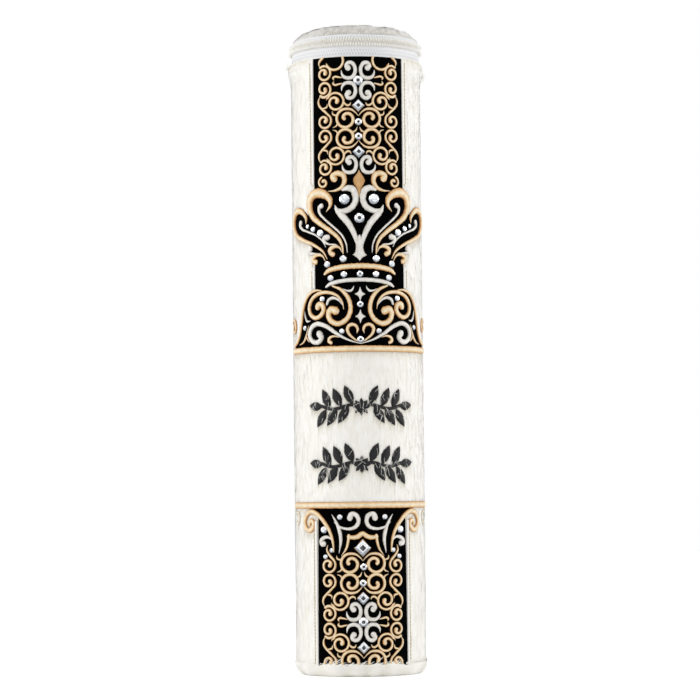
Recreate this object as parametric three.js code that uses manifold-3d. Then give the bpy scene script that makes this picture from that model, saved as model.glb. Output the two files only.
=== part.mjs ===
// A tall round case for a rolled scroll: a cardboard tube covered in hair-on hide, with an
// embroidered satin front and a padded lid that is hinged at the back and zips on round the rim.
// Millimetres, +Z up. The front faces -Y and the origin is the middle of the flat base.
import * as THREE from "three";
import { mergeVertices } from "three/addons/utils/BufferGeometryUtils.js";
import Module from "manifold-3d";

const wasm = await Module();
wasm.setup();

// Sizes shared by the whole case
const hideRadius = 34.2;
const hideThickness = 2.5;
const backSeamGap = 0.6;
const clearanceGap = 0.3;
const roundSteps = 48;

// The cardboard tube and the satin lining that folds over its rim
const tubeWallThickness = 2.4;
const tubeLength = 323.8;
const liningThickness = 0.7;

// The base: a hide disc to stand on, a stiff board, a padded floor and the rolled welt at the corner
const baseHideRadius = 27.5;
const baseHideThickness = 2;
const baseBoardThickness = 2;
const floorPadThickness = 1.7;
const weltCornerRadius = 6.4;
const weltHeight = 7;

// The folded hem of the hide just under the zip
const hemDepth = 11.5;
const hemSwellDepth = 1.7;
const hemWallThickness = 0.9;
const hideBelowRimHeight = 5.9;

// The zip: two woven tapes, each with its coil, that part along one level line
const tapeThickness = 0.5;
const tapeBehindHideLength = 9.5;
const coilHeight = 1.5;
const coilDepth = 1.3;
const coilPartingGap = 0.8;
const rimToPartingHeight = 1.6;
const upperTapeHeight = 6.4;
const upperTapeLeanWidth = 2.5;
const upperTapeUprightHeight = 1.5;
const lowerCoilEnd = THREE.MathUtils.degToRad(155);
const lowerTapeEnd = THREE.MathUtils.degToRad(158);
const upperTapeEnd = THREE.MathUtils.degToRad(138.5);
const stopStart = THREE.MathUtils.degToRad(155.4);
const stopEnd = THREE.MathUtils.degToRad(157.4);
const hingeStripStart = THREE.MathUtils.degToRad(160);
const hingePartingGap = 0.3;

// The lid: satin, board, foam crown and the domed hide over them
const lidLiningRadius = 29.5;
const lidBoardRadius = 29.8;
const lidBoardThickness = 2;
const lidPadRadius = 29.5;
const lidPadSideHeight = 1.6;
const lidPadCrownHeight = 4.8;
const lidHideThickness = 2.5;
const lidHideOverhangWidth = 1.8;

// The satin front, its ribbon edging and the stitched bars
const panelHalfWidth = 25;
const crownHalfWidth = 47.5;
const panelThickness = 0.4;
const panelColumns = 18;
const ribbonWidth = 2.2;
const ribbonThickness = 0.9;
const barHeight = 3.3;
const barThickness = 0.8;
const barHalfWidth = 47;
const upperBarShare = 0.517;
const lowerBarHeight = 89;
const bellHeight = 29.3;
const waistHeight = 13;
const crownHeight = 40.5;
const lowerScrollOuterRadius = 5.2;
const lowerScrollInnerRadius = 1.4;

// Raised satin stitch
const threadHeight = 0.6;
const broadThreadWidth = 1.9;
const mediumThreadWidth = 1.3;
const fineThreadWidth = 1;
const threadSteps = 20;
const threadShoulderShare = 0.7;

// Glued flat-backed stones
const roundStoneRadius = 2.9;
const smallStoneRadius = 2.4;
const squareStoneRadius = 3.2;
const largeStoneRadius = 4.2;
const stoneHeight = 1.6;
const stoneTableShare = 0.55;

// The zip slider and its pull tab
const sliderAngle = THREE.MathUtils.degToRad(147);
const sliderLength = 8.4;
const sliderWidth = 6.4;
const sliderThroatWidth = 4;
const sliderPlateThickness = 0.9;
const sliderInnerPlateThickness = 0.6;
const sliderFlangeThickness = 0.6;
const sliderFlangeDepth = 1.2;
const sliderWebLength = 1.5;
const sliderWebThickness = 0.3;
const coilRunningGap = 0.4;
const tapeRunningGap = 0.6;
const bridgeHeight = 1.8;
const bridgeRadius = 0.45;
const bridgeFootWidth = 0.9;
const bridgeSpanWidth = 4.3;
const bridgeFootHeight = 1.6;
const tabKnuckleRadius = 1.4;
const tabKnuckleBore = 0.75;
const tabKnuckleLength = 3.4;
const tabLength = 18;
const tabWidth = 6;
const tabThickness = 1;
const tabNeckLength = 3;
const tabShoulderLength = 6;
const tabHoleWidth = 2.4;
const tabHoleLength = 6.5;
const tabHoleDepth = 11.5;
const knuckleSides = 12;
const overrunLength = 1;

// Levels and radii that follow from the sizes
const tubeRadius = hideRadius - hideThickness - clearanceGap;
const boreRadius = tubeRadius - tubeWallThickness;
const liningRadius = boreRadius - clearanceGap;
const insideRadius = liningRadius - liningThickness;
const baseBoardFoot = baseHideThickness + clearanceGap;
const tubeFoot = baseBoardFoot + baseBoardThickness + clearanceGap;
const tubeTop = tubeFoot + tubeLength;
const floorTop = tubeFoot + floorPadThickness;
const rimHeight = tubeTop + clearanceGap + liningThickness;
const partingHeight = rimHeight + rimToPartingHeight;
const hideTop = rimHeight - hideBelowRimHeight;
const hemFoot = hideTop - hemDepth;
const hemInside = hideRadius - clearanceGap;
const tapeOuter = hemInside - clearanceGap;
const tapeInner = tapeOuter - tapeThickness;
const tapeFoot = hideTop - tapeBehindHideLength;
const coilInner = tapeOuter + clearanceGap;
const coilOuter = coilInner + coilDepth;
const halfParting = coilPartingGap / 2;
const lidLiningFoot = partingHeight + rimToPartingHeight;
const lidBoardFoot = lidLiningFoot + liningThickness + clearanceGap;
const lidPadFoot = lidBoardFoot + lidBoardThickness + clearanceGap;
const upperTapeTop = partingHeight + upperTapeHeight;
const hideInner = hideRadius - hideThickness;
const panelInner = hideRadius + clearanceGap;
const panelOuter = panelInner + panelThickness;
const threadInner = panelOuter + clearanceGap;
const upperBarHeight = upperBarShare * rimHeight;
const bellFoot = upperBarHeight + barHeight / 2 + clearanceGap;
const bellTop = bellFoot + bellHeight;
const crownFoot = bellTop + waistHeight;
const crownTop = crownFoot + crownHeight;
const lowerPanelFoot = weltHeight + clearanceGap;
const lowerPanelTop = lowerBarHeight - barHeight / 2 - clearanceGap;
const lowerPanelHeight = lowerPanelTop - lowerPanelFoot;

const fullTurn = Math.PI * 2;
const quarterTurn = Math.PI / 2;

// Finishes
function finish(color, roughness, metalness = 0) {
  return new THREE.MeshStandardMaterial({ color, roughness, metalness });
}
const whiteHide = () => finish("#f2efe6", 0.95);
const greyBoard = () => finish("#a8977c", 0.9);
const creamSatin = () => finish("#e9e2d0", 0.45);
const whiteNylon = () => finish("#f0ede4", 0.55);
const blackSatin = () => finish("#060608", 0.6);
const goldThread = () => finish("#e3be86", 0.5);
const silverThread = () => finish("#dedbd2", 0.5);
const whiteRibbon = () => finish("#f4f2ec", 0.6);
const paleFoam = () => finish("#d9d2bd", 0.95);
const clearStone = () => finish("#dfe6ee", 0.08, 0.3);
const nickel = () => finish("#c9c9c6", 0.25, 1);

const caseGroup = new THREE.Group();
const lidGroup = new THREE.Group();
const sliderGroup = new THREE.Group();
const pullGroup = new THREE.Group();

function addPiece(group, name, geometry, material) {
  const mesh = new THREE.Mesh(geometry, material);
  mesh.name = name;
  group.add(mesh);
  return mesh;
}

// A closed outline of [radius, height] points turned right round the axis, counter-clockwise
// with the radius to the right and the height upwards.
function turned(outline) {
  const points = [...outline, outline[0]].map(([r, z]) => new THREE.Vector2(r, z));
  const geometry = new THREE.LatheGeometry(points, roundSteps);
  geometry.rotateX(quarterTurn);
  return geometry;
}

function geometryFrom(positions, index) {
  const geometry = new THREE.BufferGeometry();
  geometry.setAttribute("position", new THREE.Float32BufferAttribute(positions.flat(), 3));
  geometry.setIndex(index);
  geometry.computeVertexNormals();
  return geometry;
}

// A place on the case: the angle is zero in the middle of the front and grows towards +X.
function around(angle, radius, height) {
  return [radius * Math.sin(angle), -radius * Math.cos(angle), height];
}

// The same kind of outline carried part of the way round, with a flat face at each end.
function sweptRound(outline, startAngle, endAngle) {
  const steps = Math.ceil(((endAngle - startAngle) / fullTurn) * roundSteps);
  const count = outline.length;
  const positions = [];
  const index = [];
  for (let i = 0; i <= steps; i++) {
    const angle = startAngle + ((endAngle - startAngle) * i) / steps;
    outline.forEach(([r, z]) => positions.push(around(angle, r, z)));
  }
  for (let i = 0; i < steps; i++) {
    for (let j = 0; j < count; j++) {
      const a = i * count + j;
      const b = i * count + ((j + 1) % count);
      index.push(a, a + count, b, b, a + count, b + count);
    }
  }
  const flat = outline.map(([r, z]) => new THREE.Vector2(r, z));
  const last = steps * count;
  THREE.ShapeUtils.triangulateShape(flat, []).forEach(([a, b, c]) => {
    index.push(a, b, c, last + a, last + c, last + b);
  });
  return geometryFrom(positions, index);
}

// How far the hide stands out at a height: straight up the tube, then swelling in the folded hem.
const hemSwellShares = [
  [0, 0],
  [0.35, 0.45],
  [0.65, 1],
  [0.87, 0.9],
  [1, 0.4],
];
function hideSurface(height) {
  const rise = (height - hemFoot) / hemDepth;
  const upper = hemSwellShares.findIndex(([at]) => at >= rise);
  if (upper === 0) return hideRadius;
  if (upper < 0) return hideRadius + hemSwellDepth * hemSwellShares.at(-1)[1];
  const [fromRise, fromSwell] = hemSwellShares[upper - 1];
  const [toRise, toSwell] = hemSwellShares[upper];
  const share = (rise - fromRise) / (toRise - fromRise);
  return hideRadius + hemSwellDepth * THREE.MathUtils.lerp(fromSwell, toSwell, share);
}
const hemLevels = hemSwellShares.map(([rise]) => hemFoot + rise * hemDepth);

// A thin plate wrapped on the hide: rows of [height, left edge, right edge], bottom row first.
function wrappedPlate(rows, lift, thickness, columns) {
  const positions = [];
  const index = [];
  const count = columns + 1;
  const layer = rows.length * count;
  [lift + thickness, lift].forEach((offset) => {
    rows.forEach(([height, left, right]) => {
      for (let i = 0; i < count; i++) {
        const along = THREE.MathUtils.lerp(left, right, i / columns);
        positions.push(around(along / hideRadius, hideSurface(height) + offset, height));
      }
    });
  });
  const apart = (a, b) => Math.hypot(...positions[a].map((value, i) => value - positions[b][i]));
  const quad = (a, b, c, d) => {
    if (apart(b, c) < apart(a, d)) index.push(a, b, c, b, d, c);
    else index.push(a, b, d, a, d, c);
  };
  for (let k = 0; k < rows.length - 1; k++) {
    for (let i = 0; i < columns; i++) {
      const a = k * count + i;
      quad(a, a + 1, a + count, a + count + 1);
      quad(layer + a + 1, layer + a, layer + a + count + 1, layer + a + count);
    }
    const left = k * count;
    const right = left + columns;
    quad(layer + left, left, layer + left + count, left + count);
    quad(right, layer + right, right + count, layer + right + count);
  }
  const top = (rows.length - 1) * count;
  for (let i = 0; i < columns; i++) {
    quad(layer + i, layer + i + 1, i, i + 1);
    quad(top + i, top + i + 1, layer + top + i, layer + top + i + 1);
  }
  return geometryFrom(positions, index);
}

function mirrored(geometry) {
  const copy = geometry.clone();
  copy.scale(-1, 1, 1);
  const order = copy.getIndex();
  for (let i = 0; i < order.count; i += 3) {
    const second = order.getX(i + 1);
    order.setX(i + 1, order.getX(i + 2));
    order.setX(i + 2, second);
  }
  copy.computeVertexNormals();
  return copy;
}

// A raised line of satin stitch on the panel. Each share is [across, up, half width]: across and up
// are shares of the field that the line lies in, and the half width is a share of the thread's widest.
function stitchedLine(shares, field, widest) {
  const line = new THREE.CatmullRomCurve3(
    shares.map(([across, up, width]) => new THREE.Vector3(
      field.middle + across * field.width,
      field.foot + up * field.height,
      width * widest,
    )),
    false,
    "centripetal",
  );
  const positions = [];
  const index = [];
  const corners = 4;
  for (let i = 0; i <= threadSteps; i++) {
    const at = line.getPoint(i / threadSteps);
    const ahead = line.getTangent(i / threadSteps);
    const length = Math.hypot(ahead.x, ahead.y);
    const side = [-ahead.y / length, ahead.x / length];
    const put = (reach, radius) => {
      const along = at.x + side[0] * at.z * reach;
      positions.push(around(along / hideRadius, radius, at.y + side[1] * at.z * reach));
    };
    put(1, threadInner);
    put(-1, threadInner);
    put(-threadShoulderShare, threadInner + threadHeight);
    put(threadShoulderShare, threadInner + threadHeight);
  }
  for (let i = 0; i < threadSteps; i++) {
    for (let j = 0; j < corners; j++) {
      const a = i * corners + j;
      const b = i * corners + ((j + 1) % corners);
      index.push(a, a + corners, b, b, a + corners, b + corners);
    }
  }
  const last = threadSteps * corners;
  index.push(0, 1, 2, 0, 2, 3, last, last + 2, last + 1, last, last + 3, last + 2);
  return geometryFrom(positions, index);
}

function addPair(name, geometry, material) {
  addPiece(caseGroup, name + "_right", geometry, material());
  addPiece(caseGroup, name + "_left", mirrored(geometry), material());
}

// Joining and cutting
function asSolid(geometry) {
  const bare = geometry.clone();
  bare.deleteAttribute("normal");
  bare.deleteAttribute("uv");
  const merged = mergeVertices(bare);
  return new wasm.Manifold(new wasm.Mesh({
    numProp: 3,
    vertProperties: merged.attributes.position.array,
    triVerts: new Uint32Array(merged.index.array),
  }));
}
function asGeometry(solid) {
  const mesh = solid.getMesh();
  const geometry = new THREE.BufferGeometry();
  geometry.setAttribute("position", new THREE.BufferAttribute(mesh.vertProperties, 3));
  geometry.setIndex(new THREE.BufferAttribute(mesh.triVerts, 1));
  const faceted = geometry.toNonIndexed();
  faceted.computeVertexNormals();
  return faceted;
}
function block(width, depth, height, x, y, z) {
  const box = new THREE.BoxGeometry(width, depth, height);
  box.translate(x, y, z);
  return asSolid(box);
}
function bar(radius, length, x, y, z) {
  const rod = new THREE.CylinderGeometry(radius, radius, length, knuckleSides);
  rod.rotateZ(quarterTurn);
  rod.translate(x, y, z);
  return asSolid(rod);
}

// The base
addPiece(caseGroup, "base_hide", turned([
  [0, 0],
  [baseHideRadius, 0],
  [baseHideRadius, baseHideThickness],
  [0, baseHideThickness],
]), whiteHide());
addPiece(caseGroup, "base_board", turned([
  [0, baseBoardFoot],
  [tubeRadius, baseBoardFoot],
  [tubeRadius, baseBoardFoot + baseBoardThickness],
  [0, baseBoardFoot + baseBoardThickness],
]), greyBoard());
addPiece(caseGroup, "floor_pad", turned([
  [0, tubeFoot],
  [liningRadius, tubeFoot],
  [liningRadius, floorTop],
  [0, floorTop],
]), creamSatin());

// The welt is the rolled hide that rounds the bottom corner.
const weltArcShares = [0, 0.25, 0.5, 0.75, 1];
const weltCorners = weltArcShares.map((share) => [
  hideRadius - weltCornerRadius + weltCornerRadius * Math.sin(share * quarterTurn),
  weltCornerRadius - weltCornerRadius * Math.cos(share * quarterTurn),
]);
addPiece(caseGroup, "base_welt", turned([
  [baseHideRadius + clearanceGap, baseHideThickness],
  ...weltCorners,
  [hideRadius, weltHeight],
  [hideInner, weltHeight],
  [hideInner, baseHideThickness],
]), whiteHide());

// The tube and its lining
addPiece(caseGroup, "core_tube", turned([
  [boreRadius, tubeFoot],
  [tubeRadius, tubeFoot],
  [tubeRadius, tubeTop],
  [boreRadius, tubeTop],
]), greyBoard());
addPiece(caseGroup, "tube_lining", turned([
  [insideRadius, floorTop + clearanceGap],
  [liningRadius, floorTop + clearanceGap],
  [liningRadius, tubeTop + clearanceGap],
  [tubeRadius, tubeTop + clearanceGap],
  [tubeRadius, rimHeight],
  [insideRadius, rimHeight],
]), creamSatin());

// The hide is one piece wrapped round the tube: its two edges meet down the back.
const seamAngle = backSeamGap / 2 / hideRadius;
addPiece(caseGroup, "body_hide", sweptRound([
  [hideInner, weltHeight + clearanceGap],
  [hideRadius, weltHeight + clearanceGap],
  ...hemLevels.map((height) => [hideSurface(height), height]),
  [hemInside, hideTop],
  [hemInside, hideTop - tapeBehindHideLength - clearanceGap - hemWallThickness],
  [hideInner, hideTop - tapeBehindHideLength - clearanceGap - hemWallThickness - hideThickness],
], -Math.PI + seamAngle, Math.PI - seamAngle), whiteHide());

// The satin front. Each share is [height, half width] of the bell, of the crown and of the lower panel.
const bellShares = [
  [0, 0.985],
  [0.08, 0.9],
  [0.17, 0.85],
  [0.34, 0.805],
  [0.51, 0.775],
  [0.68, 0.74],
  [0.85, 0.68],
  [0.95, 0.6],
];
const crownShares = [
  [0.03, 0.575],
  [0.14, 0.59],
  [0.24, 0.63],
  [0.29, 0.61],
  [0.34, 0.72],
  [0.39, 0.83],
  [0.45, 0.92],
  [0.52, 0.985],
  [0.63, 1],
  [0.72, 0.955],
  [0.79, 0.84],
  [0.83, 0.7],
  [0.93, 0.645],
  [0.98, 0.585],
];
const evenRow = (height, half) => [height, -half, half];
addPiece(caseGroup, "upper_panel", wrappedPlate([
  ...bellShares.map(([up, half]) => evenRow(bellFoot + up * bellHeight, half * crownHalfWidth)),
  evenRow(bellTop, panelHalfWidth),
  evenRow(crownFoot, panelHalfWidth),
  ...crownShares.map(([up, half]) => evenRow(crownFoot + up * crownHeight, half * crownHalfWidth)),
  evenRow(crownTop, panelHalfWidth),
  ...hemLevels.map((height) => evenRow(height, panelHalfWidth)),
], clearanceGap, panelThickness, panelColumns), blackSatin());
const lowerPanelShares = [
  [0, 1],
  [0.9, 1],
  [0.94, 1.04],
  [0.98, 1.12],
  [1, 1.26],
];
const lowerPanelRows = lowerPanelShares.map(([up, half]) => {
  return evenRow(lowerPanelFoot + up * lowerPanelHeight, half * panelHalfWidth);
});
addPiece(caseGroup, "lower_panel",
  wrappedPlate(lowerPanelRows, clearanceGap, panelThickness, panelColumns), blackSatin());

// White ribbon along the straight edges of the satin
const ribbonInner = panelHalfWidth + clearanceGap;
function ribbon(levels) {
  const rows = levels.map((height) => [height, ribbonInner, ribbonInner + ribbonWidth]);
  return wrappedPlate(rows, clearanceGap, ribbonThickness, 1);
}
const ribbonStopGap = ribbonWidth;
const lowerRibbonShare = 0.91;
addPair("edging_upper", ribbon([crownTop + ribbonStopGap, ...hemLevels]), whiteRibbon);
addPair("edging_waist", ribbon([bellTop + clearanceGap, crownFoot - ribbonStopGap]), whiteRibbon);
addPair("edging_lower", ribbon([
  lowerPanelFoot,
  lowerPanelFoot + lowerRibbonShare * lowerPanelHeight,
]), whiteRibbon);

// The two stitched bars that frame the bare band of hide
function stitchedBar(middle) {
  const bottom = middle - barHeight / 2;
  const angle = barHalfWidth / hideRadius;
  return sweptRound([
    [panelInner, bottom],
    [panelInner + barThickness, bottom],
    [panelInner + barThickness, bottom + barHeight],
    [panelInner, bottom + barHeight],
  ], -angle, angle);
}
addPiece(caseGroup, "upper_gold_bar", stitchedBar(upperBarHeight), goldThread());
addPiece(caseGroup, "lower_gold_bar", stitchedBar(lowerBarHeight), goldThread());

// Main lines of the embroidery, each drawn on the right and mirrored to the left
const crownField = { middle: 0, width: crownHalfWidth, foot: crownFoot, height: crownHeight };
const bellField = { middle: 0, width: crownHalfWidth, foot: bellFoot, height: bellHeight };
const bandField = { middle: 0, width: panelHalfWidth, foot: bellTop, height: waistHeight };
const lowerField = { middle: 0, width: panelHalfWidth, foot: lowerPanelFoot, height: lowerPanelHeight };

const hookShares = [
  [0.195, 0.15, 0.3],
  [0.215, 0.27, 0.5],
  [0.31, 0.41, 0.7],
  [0.45, 0.54, 0.8],
  [0.575, 0.66, 0.9],
  [0.63, 0.78, 1],
  [0.605, 0.9, 1],
  [0.495, 0.965, 1],
  [0.38, 0.9, 0.85],
  [0.345, 0.78, 0.6],
  [0.385, 0.71, 0.3],
];
addPair("crown_hook", stitchedLine(hookShares, crownField, broadThreadWidth), goldThread);

const wingShares = [
  [0.39, 0.08, 0.3],
  [0.43, 0.18, 0.5],
  [0.53, 0.265, 0.7],
  [0.68, 0.335, 0.85],
  [0.84, 0.405, 0.9],
  [0.945, 0.5, 1],
  [0.955, 0.65, 1],
  [0.865, 0.755, 1],
  [0.76, 0.73, 0.85],
  [0.705, 0.64, 0.6],
  [0.72, 0.55, 0.3],
];
addPair("crown_wing", stitchedLine(wingShares, crownField, broadThreadWidth), goldThread);

const lyreShares = [
  [0.04, 0.07, 0.9],
  [0.035, 0.2, 0.8],
  [0.05, 0.32, 0.8],
  [0.105, 0.45, 1],
  [0.18, 0.56, 1],
  [0.25, 0.66, 0.7],
  [0.27, 0.74, 0.2],
];
addPair("crown_lyre", stitchedLine(lyreShares, crownField, mediumThreadWidth), silverThread);

const collarShares = [
  [0.13, 0.655, 0.5],
  [0.07, 0.7, 0.9],
  [0.045, 0.8, 1],
  [0.06, 0.92, 1],
  [0.12, 0.985, 1],
  [0.19, 0.97, 0.6],
];
addPair("crown_collar", stitchedLine(collarShares, crownField, mediumThreadWidth), silverThread);

const bandShares = [
  [-0.78, 0, 0.6],
  [-0.66, 0.14, 1],
  [-0.35, 0.255, 1],
  [0, 0.29, 1],
  [0.35, 0.255, 1],
  [0.66, 0.14, 1],
  [0.78, 0, 0.6],
];
function crownBand(rise, widest) {
  const raised = bandShares.map(([across, up, width]) => [across, up + rise, width]);
  return stitchedLine(raised, bandField, widest);
}
const goldBandRise = 0.63;
const silverBandRise = 0.07;
addPiece(caseGroup, "crown_band_gold", crownBand(goldBandRise, mediumThreadWidth), goldThread());
addPiece(caseGroup, "crown_band_silver", crownBand(silverBandRise, fineThreadWidth), silverThread());

const bellEdgeShares = [
  [0.97, 0.04, 0.5],
  [0.9, 0.07, 1],
  [0.845, 0.17, 1],
  [0.8, 0.34, 1],
  [0.77, 0.51, 1],
  [0.735, 0.68, 1],
  [0.665, 0.85, 1],
  [0.56, 0.95, 0.9],
  [0.43, 0.97, 0.4],
];
addPair("bell_edge", stitchedLine(bellEdgeShares, bellField, fineThreadWidth), goldThread);

const scrollPlaceShares = { across: 1.27, up: 0.918 };
const scrollTurn = Math.PI * 1.4;
const scrollPoints = 7;
const scrollLine = Array.from({ length: scrollPoints }, (_, i) => {
  const share = i / (scrollPoints - 1);
  const angle = quarterTurn - share * scrollTurn;
  const radius = THREE.MathUtils.lerp(lowerScrollOuterRadius, lowerScrollInnerRadius, share);
  return [
    scrollPlaceShares.across + (radius * Math.cos(angle)) / panelHalfWidth,
    scrollPlaceShares.up + (radius * Math.sin(angle)) / lowerPanelHeight,
    1 - share / 3,
  ];
});
const hookLegShares = [
  [0.58, 0.72, 0.2],
  [0.63, 0.81, 0.5],
  [0.74, 0.9, 0.8],
  [0.94, 0.962, 1],
];
const lowerHookShares = [...hookLegShares, ...scrollLine];
addPair("lower_hook", stitchedLine(lowerHookShares, lowerField, fineThreadWidth), goldThread);

// Stones: a flat back, slanting sides and a small flat top, standing straight out of the front
function addStone(name, along, height, radius, sides) {
  const stone = new THREE.CylinderGeometry(radius * stoneTableShare, radius, stoneHeight, sides);
  stone.translate(0, stoneHeight / 2, 0);
  stone.rotateX(Math.PI);
  const mesh = addPiece(caseGroup, name, stone, clearStone());
  const angle = along / hideRadius;
  const [x, y, z] = around(angle, threadInner, height);
  mesh.position.set(x, y, z);
  mesh.rotation.z = angle;
}
const roundSides = 8;
const squareSides = 4;
const stripField = { middle: 0, width: panelHalfWidth, foot: crownTop, height: hemFoot - crownTop };
const stonePlaceShares = [
  ["crown_stone_right", crownField, 0.168, 0.826, roundStoneRadius, roundSides],
  ["crown_stone_left", crownField, -0.168, 0.826, roundStoneRadius, roundSides],
  ["crown_stone_centre", crownField, 0, 0.59, roundStoneRadius, roundSides],
  ["rosette_stone_upper", stripField, 0, 0.974, smallStoneRadius, roundSides],
  ["diamond_stone_upper", stripField, 0, 0.745, squareStoneRadius, squareSides],
  ["diamond_stone_middle", stripField, 0, 0.32, squareStoneRadius, squareSides],
  ["diamond_stone_large", lowerField, 0, 0.746, largeStoneRadius, squareSides],
  ["diamond_stone_lower", lowerField, 0, 0.42, squareStoneRadius, squareSides],
  ["rosette_stone_lower", lowerField, 0, 0.266, smallStoneRadius, roundSides],
  ["diamond_stone_foot", lowerField, 0, 0.1, squareStoneRadius, squareSides],
];
stonePlaceShares.forEach(([name, field, across, up, radius, sides]) => {
  addStone(name, across * field.width, field.foot + up * field.height, radius, sides);
});

// The lower half of the zip, its two end stops and the lower half of the cloth hinge
const lowerTapeOutline = [
  [tapeInner, tapeFoot],
  [tapeOuter, tapeFoot],
  [tapeOuter, partingHeight - halfParting],
  [tapeInner, partingHeight - halfParting],
];
addPiece(caseGroup, "lower_zip_tape",
  sweptRound(lowerTapeOutline, -lowerTapeEnd, lowerTapeEnd), whiteNylon());

// A coil seen end on: a flattened tube with its corners taken off
const coilChamferShare = 0.3;
function coilOutline(bottom) {
  const cutIn = coilDepth * coilChamferShare;
  const cutUp = coilHeight * coilChamferShare;
  return [
    [coilInner, bottom],
    [coilOuter - cutIn, bottom],
    [coilOuter, bottom + cutUp],
    [coilOuter, bottom + coilHeight - cutUp],
    [coilOuter - cutIn, bottom + coilHeight],
    [coilInner, bottom + coilHeight],
  ];
}
const lowerCoilFoot = partingHeight - halfParting - coilHeight;
addPiece(caseGroup, "lower_zip_coil",
  sweptRound(coilOutline(lowerCoilFoot), -lowerCoilEnd, lowerCoilEnd), whiteNylon());
addPair("zip_stop", sweptRound([
  [coilInner, lowerCoilFoot - clearanceGap],
  [coilOuter, lowerCoilFoot - clearanceGap],
  [coilOuter, partingHeight],
  [coilInner, partingHeight],
], stopStart, stopEnd), nickel);
addPiece(caseGroup, "hinge_strip_lower", sweptRound([
  [tapeInner, tapeFoot],
  [tapeOuter, tapeFoot],
  [tapeOuter, partingHeight - hingePartingGap / 2],
  [tapeInner, partingHeight - hingePartingGap / 2],
], hingeStripStart, fullTurn - hingeStripStart), whiteNylon());

// The upper half of the zip leans in from the coil to the rim of the lid
function leaningTape(bottom) {
  const upright = partingHeight + upperTapeUprightHeight;
  return [
    [tapeInner, bottom],
    [tapeOuter, bottom],
    [tapeOuter, upright],
    [tapeOuter - upperTapeLeanWidth, upperTapeTop],
    [tapeInner - upperTapeLeanWidth, upperTapeTop],
    [tapeInner, upright],
  ];
}
addPiece(lidGroup, "upper_zip_tape",
  sweptRound(leaningTape(partingHeight + halfParting), -upperTapeEnd, upperTapeEnd), whiteNylon());
addPiece(lidGroup, "upper_zip_coil",
  sweptRound(coilOutline(partingHeight + halfParting), -upperTapeEnd, upperTapeEnd), whiteNylon());
addPiece(lidGroup, "hinge_strip_upper",
  sweptRound(leaningTape(partingHeight + hingePartingGap / 2), hingeStripStart, fullTurn - hingeStripStart),
  whiteNylon());

// The lid
addPiece(lidGroup, "lid_lining", turned([
  [0, lidLiningFoot],
  [lidLiningRadius, lidLiningFoot],
  [lidLiningRadius, lidLiningFoot + liningThickness],
  [0, lidLiningFoot + liningThickness],
]), creamSatin());
addPiece(lidGroup, "lid_board", turned([
  [0, lidBoardFoot],
  [lidBoardRadius, lidBoardFoot],
  [lidBoardRadius, lidBoardFoot + lidBoardThickness],
  [0, lidBoardFoot + lidBoardThickness],
]), greyBoard());

// The foam is crowned, and the hide follows it. Each share is [radius, rise] of the crown.
const crownProfileShares = [
  [1, 0],
  [0.93, 0.36],
  [0.75, 0.68],
  [0.47, 0.91],
  [0, 1],
];
const padShoulder = lidPadFoot + lidPadSideHeight;
const padOver = crownProfileShares.map(([out, up]) => [
  out * lidPadRadius,
  padShoulder + up * lidPadCrownHeight,
]);
addPiece(lidGroup, "lid_pad",
  turned([[0, lidPadFoot], [lidPadRadius, lidPadFoot], ...padOver]), paleFoam());
const hideUnder = crownProfileShares.map(([out, up]) => [
  out * (lidPadRadius + clearanceGap),
  padShoulder + clearanceGap + up * lidPadCrownHeight,
]);
const hideOver = crownProfileShares.map(([out, up]) => [
  out * (lidPadRadius + clearanceGap + lidHideOverhangWidth),
  padShoulder + clearanceGap + up * (lidPadCrownHeight + lidHideThickness),
]);
addPiece(lidGroup, "lid_hide", turned([...hideOver, ...hideUnder.reverse()]), whiteHide());

// The slider runs on the coils: an outer and an inner plate joined by a thin web in the parting line.
const outerPlateInner = coilOuter + coilRunningGap;
const outerPlateOuter = outerPlateInner + sliderPlateThickness;
const innerPlateOuter = tapeInner - tapeRunningGap;
const innerPlateInner = innerPlateOuter - sliderInnerPlateThickness;
const bridgeCentre = outerPlateOuter + bridgeHeight;
const flangePlace = (sliderWidth - sliderFlangeThickness) / 2;
const outerPlateMiddle = outerPlateInner + sliderPlateThickness / 2;
const innerPlateMiddle = innerPlateInner + sliderInnerPlateThickness / 2;
const webReach = outerPlateMiddle - innerPlateMiddle;
const webMiddle = (outerPlateMiddle + innerPlateMiddle) / 2;
let slider = block(sliderLength, sliderPlateThickness, sliderWidth, 0, -outerPlateMiddle, 0);
slider = slider.add(block(sliderLength, sliderInnerPlateThickness, sliderThroatWidth,
  0, -innerPlateMiddle, 0));
slider = slider.add(block(sliderWebLength, webReach, sliderWebThickness,
  -(sliderLength - sliderWebLength) / 2, -webMiddle, 0));
for (const side of [-1, 1]) {
  const drop = sliderFlangeDepth + sliderPlateThickness / 2;
  slider = slider.add(block(sliderLength, drop, sliderFlangeThickness,
    0, -(outerPlateMiddle - drop / 2), side * flangePlace));
  const rise = bridgeHeight + bridgeRadius + sliderPlateThickness / 2;
  slider = slider.add(block(bridgeFootWidth, rise, bridgeFootHeight,
    side * (bridgeSpanWidth + bridgeFootWidth) / 2, -(outerPlateMiddle + rise / 2), 0));
}
slider = slider.add(bar(bridgeRadius, bridgeSpanWidth + bridgeFootWidth, 0, -bridgeCentre, 0));
addPiece(sliderGroup, "slider_body", asGeometry(slider), nickel());

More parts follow.
